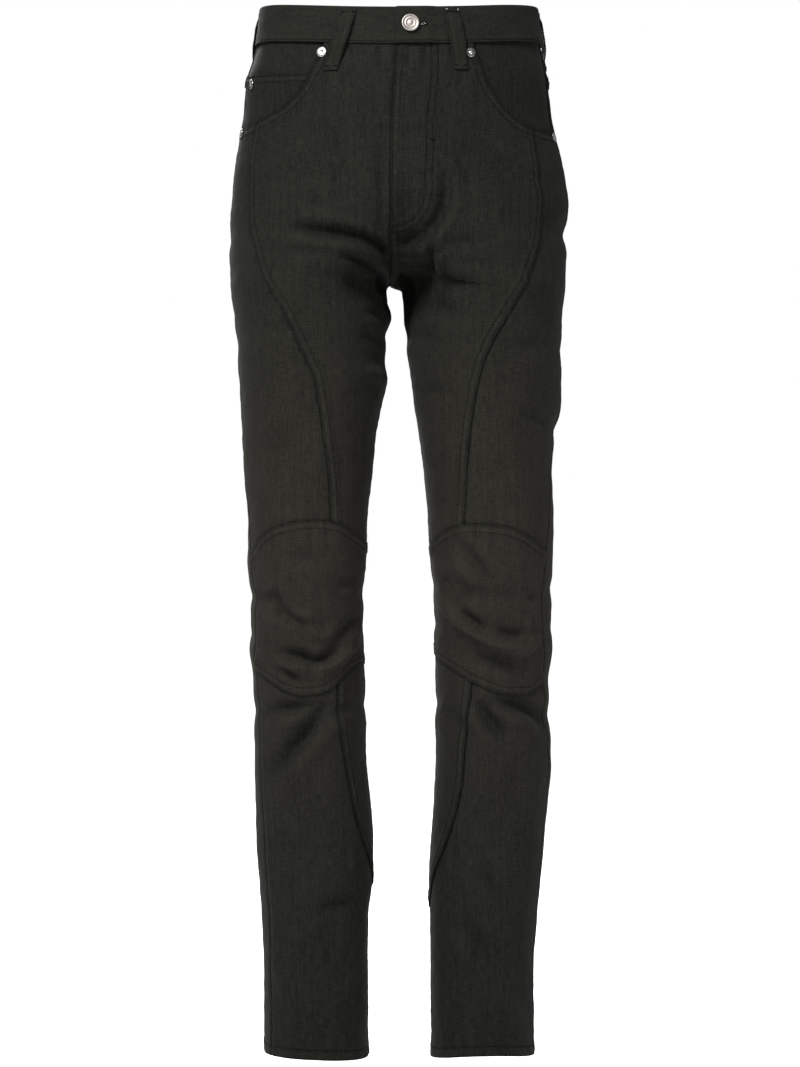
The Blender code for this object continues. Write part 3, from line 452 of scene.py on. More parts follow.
# Inner row of the stitching beside the fly: angle, z on the wearer's left.
FLY_CURVE = (
    (11.9, -46), (11.9, -57), (11.8, -94), (11.2, -116), (10.4, -132), (10.1, -158), (9.6, -182),
    (7.2, -196), (3.0, -210), (-0.2, -218.8), (-4.4, -226.8), (-8.6, -231.6), (-12.8, -234.7), (-17.5, -236),
)
FLY_END_Z = -240.0
FLY_ROWS = 6.6
# side, panel, first place, last place, width
BAR_TACKS = (
    (L, "front_left", (11.2, -147), (12.9, -148.6), 1.5),
    (L, "front_left", (-17.8, -237.5), (-19.5, -243), 1.4),
    (R, "side_front_right", (86, -212), (86, -220), 2.0),
    (L, "side_front_left", (82, -211), (82, -219), 2.0),
    (R, "front_right", (24.6, -52), (27.4, -46), 1.8),
    (L, "front_left", (25.0, -52), (27.6, -46), 1.8),
)
# x, z from the buttonhole's line, lean, length
FRAYED_ENDS = (
    (18.8, -1.2, 0.6, 2.2), (20.2, -0.6, 0.9, 1.9), (21.3, 0.3, 0.3, 2.2), (20.6, -1.4, 0.2, 2.0),
    (22.2, 0.4, -0.5, 2.0), (19.6, -1.9, 0.5, 1.6), (23.0, 0.0, -0.2, 1.5),
)
# share down the loop, place across, lean
LOOSE_ENDS = ((0.03, -5.8, -0.8), (0.03, -5.1, 0.5), (0.03, 5.6, 0.7), (0.035, 6.2, -0.4))
# name: side, angle_top, z_top, angle_bottom, z_bottom
LOOPS = {
    "belt_loop_front_right": (R, 17.6, -14.6, 23.0, -77.0),
    "belt_loop_front_left": (L, 20.3, -14.4, 22.9, -76.0),
    "belt_loop_side_right": (R, 100.0, -1.6, 101.0, -62.5),
    "belt_loop_side_left": (L, 98.0, -1.6, 97.0, -62.5),
    "belt_loop_back": (L, 180.0, 5.8, 180.0, -58.0),
}
LOOP_PROFILE = (
    # share, height of the inner face above the form
    (0, 2.9),
    (0.07, 2.9),
    (0.16, 4.4),
    (0.3, 5.5),
    (0.45, 5.5),
    (0.6, 5.2),
    (0.74, 3.2),
    (0.86, 1.1),
    (1, 1.0),
)
BUTTON_PROFILE = (
    # radius, height, how light the metal is
    (0, 0, 0.6),
    (4, 0, 0.6),
    (4, 1.2, 0.6),
    (8.2, 1.4, 0.7),
    (8.8, 1.7, 0.9),
    (9.0, 2.2, 1.0),
    (8.8, 2.8, 1.0),
    (8.3, 3.15, 1.0),
    (7.7, 3.2, 0.95),
    (7.2, 2.95, 0.6),
    (6.9, 2.75, 0.75),
    (5.5, 2.65, 0.9),
    (5.2, 2.8, 0.95),
    (4.8, 2.9, 1.0),
    (4.4, 2.8, 0.7),
    (4.1, 2.65, 0.75),
    (2.4, 2.65, 0.9),
    (2.0, 2.8, 0.95),
    (1.5, 2.9, 1.0),
    (0, 2.95, 1.0),
)
DOMED_RIVET = (
    # radius, height, how light the metal is
    (0, 0, 0.7),
    (5.4, 0, 0.7),
    (5.4, 0.5, 0.8),
    (5.1, 0.95, 0.95),
    (4.5, 1.25, 1.0),
    (3.4, 1.5, 1.0),
    (2.2, 1.6, 1.0),
    (1.7, 1.45, 0.7),
    (1.2, 1.15, 0.45),
    (0, 1.05, 0.6),
)
RINGED_RIVET = (
    # radius, height, how light the metal is
    (0, 0, 0.3),
    (5.0, 0, 0.3),
    (5.0, 0.5, 0.3),
    (4.7, 1.0, 0.42),
    (4.1, 1.25, 0.42),
    (3.3, 1.15, 0.24),
    (2.6, 0.8, 0.16),
    (2.2, 0.8, 0.3),
    (1.9, 1.2, 0.9),
    (1.4, 1.55, 1.0),
    (0.7, 1.7, 1.0),
    (0, 1.72, 1.0),
)
# name: side, angle, z, seat above the form, profile
RIVETS = {
    "rivet_mouth_right": (R, 27.9, -57.8, 1.1, DOMED_RIVET),
    "rivet_mouth_left": (L, 27.2, -58.6, 1.1, RINGED_RIVET),
    "rivet_end_right": (R, 78.0, -131.5, 0.9, RINGED_RIVET),
    "rivet_end_left": (L, 76.0, -136.0, 0.9, RINGED_RIVET),
    "rivet_coin_right": (R, 70.5, -83.0, 0.7, RINGED_RIVET),
}


class Curve:
    """A curve through points that never overshoots between them."""

    def __init__(self, xs: np.ndarray, ys: np.ndarray) -> None:
        """Work out the slopes once.

        Args:
            xs: Places along the curve, in any order.
            ys: Values there.
        """
        order = np.argsort(xs)
        self.xs = np.asarray(xs, dtype=float)[order]
        self.ys = np.asarray(ys, dtype=float)[order]
        self.step = np.diff(self.xs)
        rise = np.diff(self.ys) / self.step
        self.slope = np.zeros(len(self.xs))
        self.slope[0], self.slope[-1] = rise[0], rise[-1]
        for i in range(1, len(self.xs) - 1):
            if rise[i - 1] * rise[i] > 0:
                low = 2 * self.step[i] + self.step[i - 1]
                high = self.step[i] + 2 * self.step[i - 1]
                self.slope[i] = (low + high) / (low / rise[i - 1] + high / rise[i])

    def __call__(self, x: np.ndarray | float) -> np.ndarray:
        """Value at x."""
        x = np.clip(np.asarray(x, dtype=float), self.xs[0], self.xs[-1])
        i = np.clip(np.searchsorted(self.xs, x) - 1, 0, len(self.xs) - 2)
        h = self.step[i]
        t = (x - self.xs[i]) / h
        near = (2 * t ** 3 - 3 * t ** 2 + 1) * self.ys[i]
        near = near + (t ** 3 - 2 * t ** 2 + t) * h * self.slope[i]
        far = (3 * t ** 2 - 2 * t ** 3) * self.ys[i + 1]
        return near + far + (t ** 3 - t ** 2) * h * self.slope[i + 1]


def smooth(t: np.ndarray | float) -> np.ndarray:
    """Soft step from 0 to 1."""
    t = np.clip(t, 0.0, 1.0)
    return t * t * (3 - 2 * t)


def bell(distance: np.ndarray, width: float) -> np.ndarray:
    """Soft bump of height 1 at distance 0."""
    return np.exp(-(distance / width) ** 2)


def ripple(u: np.ndarray, v: np.ndarray, length: float, seed: int) -> np.ndarray:
    """Smooth irregular waves from about -1 to 1."""
    chance = np.random.default_rng(seed)
    total = np.zeros(np.broadcast(u, v).shape)
    for _ in range(7):
        turn = chance.uniform(0, 2 * math.pi)
        wave = length * chance.uniform(0.7, 1.6)
        phase = chance.uniform(0, 2 * math.pi)
        total = total + np.sin(2 * math.pi * (u * math.cos(turn) + v * math.sin(turn)) / wave + phase)
    return total / 3.2


def columns(table: tuple[tuple[float, ...], ...]) -> np.ndarray:
    """The columns of a table."""
    return np.array(table, dtype=float).T


@dataclass
class Form:
    """The plain form of one side: level sections that grow from a leg into the hips."""

    side: Side
    out: Curve = field(init=False)
    front: Curve = field(init=False)
    back: Curve = field(init=False)
    inner: Curve = field(init=False)
    centre: Curve = field(init=False)

    def __post_init__(self) -> None:
        """Make the form's curves from the tables."""
        rows = columns(OUTLINE)
        self.out = Curve(rows[0], rows[self.side.column])
        self.front = Curve(rows[0], rows[3])
        self.back = Curve(rows[0], rows[4])
        rows = columns(INSEAM)
        self.inner = Curve(rows[0], rows[self.side.column])
        rows = columns(CENTRE_LINE)
        self.centre = Curve(rows[0], rows[1])

    def section(self, z: np.ndarray) -> tuple[np.ndarray, ...]:
        """Level section at heights z.

        Args:
            z: Heights.

        Returns:
            Middle and half width out from x = 0, middle depth, depth in front and behind, and
            the angle where the section starts.
        """
        z = np.asarray(z, dtype=float)
        out, front, back = self.out(z), self.front(z), self.back(z)
        centre = self.side.sign * self.centre(z)
        open_leg = z < CROTCH_Z
        joined = np.clip((z - CROTCH_Z) / RISE_BLEND, 0.0, 1.0)
        hip = centre + (out - centre) / 2 * (1 - joined)
        middle = np.where(open_leg, (self.inner(z) + out) / 2, hip)
        half = out - middle
        middle_y = (front + back) / 2
        share = np.clip((middle - centre) / half, 0.0, 1.0)
        start = np.where(open_leg, -90.0, -np.degrees(np.arcsin(share ** (1 / SQUARE))))
        return middle, half, middle_y, middle_y - front, back - middle_y, start

    def start(self, z: np.ndarray | float) -> np.ndarray:
        """Angle of the rise or the inseam at heights z."""
        return self.section(np.asarray(z, dtype=float))[5]

    def point(self, angle: np.ndarray, z: np.ndarray) -> np.ndarray:
        """Places on the form, in millimetres."""
        middle, half, middle_y, front, back, _ = self.section(z)
        sine, cosine = np.sin(np.radians(angle)), np.cos(np.radians(angle))
        x = self.side.sign * (middle + half * np.sign(sine) * np.abs(sine) ** SQUARE)
        depth = np.where(cosine > 0, front, back)
        y = middle_y - depth * np.sign(cosine) * np.abs(cosine) ** SQUARE
        return np.stack([x, y, np.broadcast_to(z, x.shape)], axis=-1)

    def normal(self, angle: np.ndarray, z: np.ndarray) -> np.ndarray:
        """Outward directions on the form."""
        turn, drop = 0.8, 1.5
        below = np.minimum(z, np.where(z >= CROTCH_Z, 1e9, CROTCH_Z - drop))
        around = self.point(angle + turn, z) - self.point(angle - turn, z)
        down = self.point(angle, below - drop) - self.point(angle, below + drop)
        found = -self.side.sign * np.cross(around, down)
        return found / np.maximum(np.linalg.norm(found, axis=-1, keepdims=True), 1e-9)

    def fold_height(self, angle: np.ndarray, points: np.ndarray) -> np.ndarray:
        """How far the folds lift or sink the cloth.

        Args:
            angle: Angles of the places.
            points: The places on the plain form.

        Returns:
            Height of the folds at each place.
        """
        lift = np.zeros(points.shape[:-1])
        cosine, sine = np.cos(np.radians(angle)), np.sin(np.radians(angle))
        seen = {View.FRONT: cosine, View.BACK: -cosine, View.OUTER: sine, View.INNER: -sine}
        off_centre = np.abs(points[..., 0] - self.centre(points[..., 2]))
        clear = np.where(points[..., 2] > CROTCH_Z - 12, smooth((off_centre - 0.5) / 6), 1.0)
        for view, fold in ((view, fold) for view in View for fold in FOLDS[self.side, view]):
            flat = points[..., 0] if view in (View.FRONT, View.BACK) else points[..., 1]
            path = self.eased(fold.path)
            reach = 3.4 * fold.width * max(1.0, 1 / fold.steep)
            low, high = path.min(0) - reach, path.max(0) + reach
            near = (flat > low[0]) & (flat < high[0]) & (seen[view] > 0)
            near &= (points[..., 2] > low[1]) & (points[..., 2] < high[1])
            if not near.any():
                continue
            here = np.stack([flat[near], points[..., 2][near]], axis=-1)
            away = here[:, None] - path[None]
            distance = np.linalg.norm(away, axis=-1)
            nearest = distance.argmin(axis=1)
            rows = np.arange(len(nearest))
            gap, along = distance[rows, nearest], nearest / (len(path) - 1)
            ahead = np.gradient(path, axis=0)[nearest]
            apart = away[rows, nearest]
            below = ahead[:, 0] * apart[:, 1] - ahead[:, 1] * apart[:, 0]
            under = below * ahead[:, 0] < 0
            shape = bell(gap, np.where(under, fold.width / fold.steep, fold.width))
            lip = fold.lip * np.where(under, 1.0, 0.35)
            shape = shape - lip * bell(gap - 1.9 * fold.width, 0.9 * fold.width)
            ends = fold.kept[0] + (fold.kept[1] - fold.kept[0]) * along
            ends = ends + (1 - ends) * np.sin(np.pi * np.clip(along, 0, 1)) ** 0.8
            facing = smooth(seen[view][near] * 5)
            lift[near] += fold.height * shape * ends * facing
        return lift * clear

    def grain(self, angle: np.ndarray, z: np.ndarray, behind: bool) -> np.ndarray:
        """Distance round the form from an upright line in the middle of the leg.

        Args:
            angle: Angles.
            z: Heights.
            behind: Measure from the line at the back.

        Returns:
            Signed distance, so that the cloth's yarns hang upright.
        """
        middle, half = self.section(z)[:2]
        share = np.clip((GRAIN_LINE - middle) / half, -1.0, 1.0)
        line = np.degrees(np.arcsin(np.sign(share) * np.abs(share) ** (1 / SQUARE)))
        line = 180 - line if behind else line
        total = np.zeros(np.shape(angle))
        last = self.point(line, z)
        for step in np.linspace(0, 1, 15)[1:]:
            here = self.point(line + (angle - line) * step, z)
            total = total + np.linalg.norm(here - last, axis=-1)
            last = here
        return total * np.sign(angle - line)

    @staticmethod
    def eased(path: tuple[tuple[float, float], ...]) -> np.ndarray:
        """The fold's path as close, smoothly bending places."""
        corners = np.array(path, dtype=float)
        steps = np.hypot(*np.diff(corners, axis=0).T)
        length = np.concatenate([[0.0], np.cumsum(steps)])
        at = np.linspace(0, length[-1], max(12, int(length[-1] / 2.5)))
        return np.stack([Curve(length, corners[:, 0])(at), Curve(length, corners[:, 1])(at)], axis=-1)


@dataclass
class Body:
    """Both sides of the form, joined at the centre line."""

    forms: dict[Side, Form] = field(default_factory=lambda: {side: Form(side) for side in Side})

    def surface(self, side: Side, angle: np.ndarray, z: np.ndarray) -> tuple[np.ndarray, ...]:
        """The cloth's resting surface; places past the rise run on over the other side.

        Args:
            side: The side that the angles belong to.
            angle: Angles, as a row.
            z: Heights, as a row.

        Returns:
            Points on the plain form, outward directions and how far the folds lift the cloth.
        """
        form, other = self.forms[side], self.forms[side.other]
        points, normals = form.point(angle, z), form.normal(angle, z)
        lift = form.fold_height(angle, points) + self.unevenness(side, angle, z)
        start = form.start(z)
        for behind in (False, True):
            past = (angle - (180 - start)) if behind else (start - angle)
            over = (z >= CROTCH_Z) & (past > 0)
            if not over.any():
                continue
            low, reach = z[over], past[over]
            scale = form.section(low)[1] / other.section(low)[1]
            begin = other.start(low)
            there = (180 - begin - reach * scale) if behind else (begin + reach * scale)
            points[over], normals[over] = other.point(there, low), other.normal(there, low)
            lift[over] = other.fold_height(there, points[over])
            lift[over] += self.unevenness(side.other, there, low)
        return points, normals, lift

    @staticmethod
    def unevenness(side: Side, angle: np.ndarray, z: np.ndarray) -> np.ndarray:
        """Slight waves of cloth that has been well used."""
        turn = angle * 1.5 + (400.0 if side is Side.LEFT else 0.0)
        return 0.42 * ripple(turn, z, 70.0, 11) + 0.20 * ripple(turn, z, 27.0, 12)


def waist_top(angle: np.ndarray | float) -> np.ndarray:
    """Height of the waistband's top edge."""
    cosine = np.cos(np.radians(angle))
    return np.where(cosine > 0, -WAIST_DIP_FRONT * cosine ** 2, WAIST_RISE_BACK * cosine ** 2)


def band_seam(angle: np.ndarray | float) -> np.ndarray:
    """Height where the panels end, under the waistband."""
    return waist_top(angle) - BAND_HEIGHT + BAND_COVERS


def hem_height(side: Side, angle: np.ndarray | float) -> np.ndarray:
    """Height of the hem edge."""
    level, tilt, front = HEMS[side]
    sine, cosine = np.sin(np.radians(angle)), np.cos(np.radians(angle))
    return level + tilt * sine + front * np.maximum(cosine, 0.0) ** 2


def eased_places(places: np.ndarray | list, count: int = 160) -> np.ndarray:
    """Close, even places along a curve of (angle, z) places."""
    places = np.asarray(places, dtype=float)
    steps = np.hypot(*(np.diff(places, axis=0) * (1.4, 1.0)).T)
    length = np.concatenate([[0.0], np.cumsum(steps)])
    keep = np.concatenate([[True], np.diff(length) > 1e-6])
    length, places = length[keep], places[keep]
    at = np.linspace(0, length[-1], count)
    if len(places) == 2:
        return np.stack([np.interp(at, length, places[:, k]) for k in (0, 1)], axis=-1)
    return np.stack([Curve(length, places[:, k])(at) for k in (0, 1)], axis=-1)


def mirrored(places: np.ndarray) -> np.ndarray:
    """The same places reached from the back: angle a becomes 180 - a."""
    places = np.array(places, dtype=float)
    places[..., 0] = 180 - places[..., 0]
    return places


@dataclass
class SeamPlan:
    """Every seam of one side as a run of (angle, z) places."""

    form: Form
    lines: dict[str, np.ndarray] = field(init=False, default_factory=dict)

    def __post_init__(self) -> None:
        """Work the seams out from the tables."""
        side, form, lines = self.form.side, self.form, self.lines
        pick = slice(0, 2) if side is Side.RIGHT else slice(2, 4)
        mouth, top, low = (np.array(t, dtype=float)[:, pick] for t in (POCKET_MOUTH, KNEE_TOP, KNEE_LOW))
        lines["mouth"] = eased_places(mouth[:MOUTH_TURN + 1])
        lines["mouth_low"] = eased_places(mouth[MOUTH_TURN:])
        lines["knee_top_in"] = eased_places(top[:KNEE_TOP_MEETS_THIGH + 1])
        lines["knee_top_out"] = eased_places(top[KNEE_TOP_MEETS_THIGH:])
        lines["knee_top"] = eased_places(top, 260)
        lines["knee_low_in"] = eased_places(low[:KNEE_LOW_MEETS_SHIN + 1])
        lines["knee_low_out"] = eased_places(low[KNEE_LOW_MEETS_SHIN:])
        lines["knee_low"] = eased_places(low, 260)
        rows = columns(THIGH_SEAM)
        z = np.linspace(mouth[MOUTH_TURN][1], top[KNEE_TOP_MEETS_THIGH][1], 300)
        thigh = np.stack([Curve(rows[0], rows[side.column])(z), z], axis=-1)
        thigh[0], thigh[-1] = mouth[MOUTH_TURN], top[KNEE_TOP_MEETS_THIGH]
        lines["thigh"] = thigh
        rows = columns(SHIN_SEAM)
        seam, tip = Curve(rows[0], rows[side.column]), SEAM_END_Z[side]
        z = np.linspace(low[KNEE_LOW_MEETS_SHIN][1], tip, 200)
        closing = np.interp(z, [tip, tip + TIP_LENGTH], [-90, float(seam(tip + TIP_LENGTH))])
        shin = np.stack([np.where(z < tip + TIP_LENGTH, closing, seam(z)), z], axis=-1)
        shin[0] = low[KNEE_LOW_MEETS_SHIN]
        lines["shin"] = shin
        waist_z = float(band_seam(0.0))
        z = np.concatenate([np.linspace(waist_z, -240, 120), np.linspace(-240, CROTCH_Z, 80)[1:]])
        lines["rise"] = np.stack([form.start(z), z], axis=-1)
        yoke_z = float(band_seam(180.0))
        z = np.linspace(yoke_z, yoke_z - YOKE_DROP_CENTRE, 40)
        lines["yoke_centre"] = mirrored(np.stack([form.start(z), z], axis=-1))
        z = np.concatenate([np.linspace(z[-1], -240, 100), np.linspace(-240, CROTCH_Z, 80)[1:]])
        lines["rise_back"] = mirrored(np.stack([form.start(z), z], axis=-1))
        rows = columns(SIDE_SEAM)
        seam = Curve(rows[0], rows[side.column])
        waist_side = float(band_seam(float(seam(-40.0))))
        hem_side = float(hem_height(side, float(seam(-1085.0))))
        marks = {"side_yoke": (waist_side, waist_side + (mouth[-1][1] - waist_side) / 2),
                 "side_mouth": (waist_side, mouth[-1][1]),
                 "side_thigh": (mouth[-1][1], top[-1][1]),
                 "side_knee": (top[-1][1], low[-1][1]),
                 "side_shin": (low[-1][1], hem_side),
                 "side_back": (waist_side + (mouth[-1][1] - waist_side) / 2, hem_side)}
        for name, (high, bottom) in marks.items():
            z = np.linspace(high, bottom, 200)
            lines[name] = np.stack([seam(z), z], axis=-1)
        for name, first, last in (("side_mouth", None, mouth[-1]), ("side_thigh", mouth[-1], top[-1]),
                                  ("side_knee", top[-1], low[-1]), ("side_shin", low[-1], None)):
            if first is not None:
                lines[name][0] = first
            if last is not None:
                lines[name][-1] = last
        heights = {"thigh": (CROTCH_Z, top[0][1]), "knee": (top[0][1], low[0][1]),
                   "gusset": (low[0][1], SEAM_END_Z[side]),
                   "ankle": (SEAM_END_Z[side], float(hem_height(side, -90.0)))}
        for name, (high, bottom) in heights.items():
            share = np.linspace(0, 1, 160) ** (1.5 if name == "thigh" else 1.0)
            z = high + (bottom - high) * share
            lines["inseam_" + name] = np.stack([np.full(len(z), -90.0), z], axis=-1)

    def joined(self, *names: str) -> np.ndarray:
        """Several seams end to end."""
        runs = [self.lines[names[0]]] + [self.lines[name][1:] for name in names[1:]]
        return np.vstack(runs)

    def back_inner(self) -> np.ndarray:
        """The back leg's inner edge: the back rise and then the whole inseam."""
        inner = self.joined("inseam_thigh", "inseam_knee", "inseam_gusset", "inseam_ankle")
        return np.vstack([self.lines["rise_back"], mirrored(inner)[1:]])

    def moved(self, places: np.ndarray, distance: float) -> np.ndarray:
        """A run of places moved sideways on the form.

        Args:
            places: The run.
            distance: Millimetres to the run's own left, seen from outside the garment.

        Returns:
            The moved run.
        """
        angle, z = places[:, 0], places[:, 1]
        form = self.form
        ahead = np.gradient(form.point(angle, z), axis=0)
        ahead /= np.maximum(np.linalg.norm(ahead, axis=-1, keepdims=True), 1e-9)
        across = np.cross(form.normal(angle, z), ahead) * distance
        around = (form.point(angle + 0.5, z) - form.point(angle - 0.5, z))
        drop = (form.point(angle, z + 1.0) - form.point(angle, z - 1.0)) / 2.0
        rise = across[:, 2]
        turn = np.einsum("ij,ij->i", across - drop * rise[:, None], around)
        turn /= np.maximum(np.einsum("ij,ij->i", around, around), 1e-6)
        return np.stack([angle + turn, z + rise], axis=-1)


@dataclass(frozen=True)
class Finish:
    """A cloth finish: its colour, set lighter or darker per part as painted light and shade, and how
    strongly its yarns show.
    """

    name: str
    slot: str
    colour: tuple[float, float, float]
    streak: float = 0.80
    fleck: float = 0.95
    edge_wear: float = 0.30
    roughness: float = 0.82


# Lit and shaded copies of one cloth: the knee copy lighter as painted light; the hip, band and shin copies
# darker as painted shade.
THIGH_TWILL = Finish("thigh_twill", "denim_thigh", (0.0128, 0.0122, 0.0095))
SHADED_HIP_TWILL = Finish("hip_twill", "denim_hips", (0.0112, 0.0110, 0.0087))
SHADED_BAND_TWILL = Finish("band_twill", "denim_band", (0.0102, 0.0102, 0.0078))
LIT_KNEE_TWILL = Finish("knee_twill", "denim_knee", (0.0131, 0.0123, 0.0097))
SHADED_SHIN_TWILL = Finish("shin_twill", "denim_shin", (0.0125, 0.0119, 0.0094))


class Value:
    """A shader socket that sums like a number."""

    def __init__(self, shader: Shader, socket: bpy.types.NodeSocket) -> None:
        """Keep the socket and the shader it belongs to."""
        self.shader = shader
        self.socket = socket

    def math(self, operation: str, *others: Value | float) -> Value:
        """A Math node on this value and others."""
        return self.shader.node("ShaderNodeMath", {"operation": operation},
                                dict(enumerate([self, *others])))

    def __add__(self, other: Value | float) -> Value:
        """Sum."""
        return self.math("ADD", other)

    __radd__ = __add__

    def __sub__(self, other: Value | float) -> Value:
        """Difference."""
        return self.math("SUBTRACT", other)

    def __rsub__(self, other: float) -> Value:
        """Reflected difference."""
        return self.math("MULTIPLY", -1.0).math("ADD", other)

    def __mul__(self, other: Value | float) -> Value:
        """Product."""
        return self.math("MULTIPLY", other)

    __rmul__ = __mul__


class Shader:
    """One material's node tree."""

    def __init__(self, name: str) -> None:
        """Start an empty material."""
        self.material = bpy.data.materials.new(name)
        self.material.use_nodes = True
        self.tree = self.material.node_tree
        self.tree.nodes.clear()

    def node(self, kind: str, settings: dict | None = None, inputs: dict | None = None,
             output: int | str = 0) -> Value:
        """Add a node.

        Args:
            kind: The node's type.
            settings: Attributes that are set first.
            inputs: Values or links of its sockets by name or number.
            output: The output that is returned.

        Returns:
            The output as a value.
        """
        made = self.tree.nodes.new(kind)
        for key, value in (settings or {}).items():
            setattr(made, key, value)
        for key, value in (inputs or {}).items():
            if isinstance(value, Value):
                self.tree.links.new(value.socket, made.inputs[key])
            else:
                made.inputs[key].default_value = value
        return Value(self, made.outputs[output])

    def place(self) -> Value:
        """The piece's own coordinates, in metres."""
        return self.node("ShaderNodeTexCoord", None, None, "Object")

    def noise(self, place: Value, scale: float, detail: float = 2.0, rough: float = 0.5) -> Value:
        """Soft noise at a place."""
        return self.node("ShaderNodeTexNoise", None,
                         {"Vector": place, "Scale": scale, "Detail": detail, "Roughness": rough})

    def tinted(self, colour: Value | tuple[float, float, float], strength: Value) -> Value:
        """A colour made lighter or darker by a value around 1."""
        return self.node("ShaderNodeVectorMath", {"operation": "SCALE"},
                         {0: colour, "Scale": strength})

    def finish(self, colour: Value | tuple, roughness: Value | float, metallic: float = 0.0,
               normal: Value | None = None, sheen: float = 0.0, specular: float = 0.5,
               glow: float = 0.0, shine: Value | None = None) -> bpy.types.Material:
        """Join everything to the surface.

        Args:
            colour: Base colour.
            roughness: Roughness.
            metallic: Metallic.
            normal: Bumped normal.
            sheen: Sheen weight.
            specular: Specular level.
            glow: Strength of its own white light.
            shine: Colour of that light, if it isn't plain white.

        Returns:
            The finished material.
        """
        inputs = {"Emission Color": (1.0, 1.0, 1.0, 1.0), "Emission Strength": glow,
                  "Base Color": colour if isinstance(colour, Value) else (*colour, 1.0),
                  "Roughness": roughness, "Metallic": metallic, "Sheen Weight": sheen,
                  "Sheen Roughness": 0.5, "Specular IOR Level": specular}
        if normal is not None:
            inputs["Normal"] = normal
        if shine is not None:
            inputs["Emission Color"] = shine
        surface = self.node("ShaderNodeBsdfPrincipled", None, inputs)
        ending = self.tree.nodes.new("ShaderNodeOutputMaterial")
        self.tree.links.new(surface.socket, ending.inputs["Surface"])
        return self.material


class Wardrobe:
    """The materials, each made once."""

    def __init__(self) -> None:
        """Start with no material made."""
        self.made: dict[str, bpy.types.Material] = {}

    def twill(self, finish: Finish) -> bpy.types.Material:
        """Slubby charcoal twill that follows the piece's own map, which is in metres.

        Args:
            finish: The cloth's finish.

        Returns:
            The material.
        """
        if finish.name in self.made:
            return self.made[finish.name]
        shader = Shader(finish.name)
        place = shader.node("ShaderNodeUVMap", {"uv_map": "Cloth"})
        # The attribute read here holds wear and painted light and shade: higher where the cloth is rubbed or
        # painted lit, lower as painted shade in seam grooves, stitch rows, fold troughs and round the
        # crotch.
        worn = shader.node("ShaderNodeAttribute", {"attribute_name": "worn"}, None, "Fac")

        def yarn(scale: tuple[float, float, float], detail: float, rough: float) -> Value:
            """Noise drawn out along one direction of the cloth."""
            mapped = shader.node("ShaderNodeMapping", None, {"Vector": place, "Scale": scale})
            return shader.noise(mapped, 1.0, detail, rough)

        slub = yarn((860.0, 56.0, 1.0), 3.0, 0.72)
        band = yarn((240.0, 12.0, 1.0), 2.0, 0.6)
        warp = yarn((1500.0, 130.0, 1.0), 2.0, 0.6)
        weft = yarn((110.0, 1150.0, 1.0), 2.0, 0.6)
        cloud = yarn((30.0, 15.0, 1.0), 3.0, 0.55)
        turned = shader.node("ShaderNodeMapping", None,
                             {"Vector": place, "Rotation": (0.0, 0.0, math.radians(62))})
        rib = shader.node("ShaderNodeTexWave", {"wave_type": "BANDS", "bands_direction": "X"},
                          {"Vector": turned, "Scale": 235.0, "Distortion": 1.2, "Detail": 1.0,
                           "Detail Scale": 1.6})
        tone = (slub - 0.5) * (1.9 * finish.streak) + (warp - 0.5) * (1.9 * finish.fleck)
        tone = tone + (weft - 0.5) * (1.8 * finish.fleck) + (cloud - 0.5) * 0.34
        tone = tone + (band - 0.5) * (0.9 * finish.streak)
        tone = tone + (rib - 0.5) * 0.12 + worn * finish.edge_wear + 1.0
        tone = tone.math("MAXIMUM", 0.25)
        height = slub * 0.30 + warp * 0.38 + weft * 0.34 + rib * 0.22
        bump = shader.node("ShaderNodeBump", None,
                           {"Strength": 0.6, "Distance": 0.00035, "Height": height})
        rough = (warp - 0.5) * 0.18 + finish.roughness
        red, green, blue = finish.colour
        # The tint shifts with the same wear and painted light and shade.
        wear_and_shade_tint = shader.node("ShaderNodeMix", {"data_type": "RGBA", "clamp_factor": True},
                            {0: worn * 0.5 + 0.5, 6: (red * 0.93, green * 1.01, blue * 0.97, 1.0),
                             7: (red * 1.04, green, blue * 0.99, 1.0)}, 2)
        self.made[finish.name] = shader.finish(
            shader.tinted(wear_and_shade_tint, tone), rough, 0.0, bump, sheen=0.02, specular=0.09)
        return self.made[finish.name]

    def thread(self, pale: bool) -> bpy.types.Material:
        """Dull twisted thread, a shade darker than the cloth, or the pale loose yarn ends."""
        name = "pale_thread" if pale else "tonal_thread"
        if name not in self.made:
            shader = Shader(name)
            scale, spread = (1400.0, 0.5) if pale else (1600.0, 0.6)
            grain = shader.noise(shader.place(), scale)
            colour = (0.42, 0.40, 0.37) if pale else (0.0040, 0.0038, 0.0032)
            tinted = shader.tinted(colour, (grain - 0.5) * spread + 1.0)
            self.made[name] = shader.finish(tinted, 0.8 if pale else 0.85, specular=0.3 if pale else 0.06)
        return self.made[name]

    def nickel(self, name: str, colour: tuple[float, float, float], roughness: float) -> bpy.types.Material:
        """Brushed nickel.

        Args:
            name: The material's name.
            colour: Its colour.
            roughness: Its mean roughness.

        Returns:
            The material.
        """
        if name not in self.made:
            shader = Shader(name)
            place = shader.place()
            mapped = shader.node("ShaderNodeMapping", None,
                                 {"Vector": place, "Scale": (900.0, 900.0, 4200.0)})
            scratch, patch = shader.noise(mapped, 1.0, 3.0, 0.6), shader.noise(place, 420.0)
            # Each ring of the profile sets the metal's tone: darker in grooves and on inner slopes, lighter
            # on raised tops.
            polish = shader.node("ShaderNodeAttribute", {"attribute_name": "polish"}, None, "Fac")
            tone = ((scratch - 0.5) * 0.30 + (patch - 0.5) * 0.25 + 1.0) * polish
            bump = shader.node("ShaderNodeBump", None,
                               {"Strength": 0.25, "Distance": 0.00005, "Height": scratch})
            rough = (patch - 0.5) * 0.22 + roughness
            self.made[name] = shader.finish(shader.tinted(colour, tone), rough, 1.0, bump)
        return self.made[name]

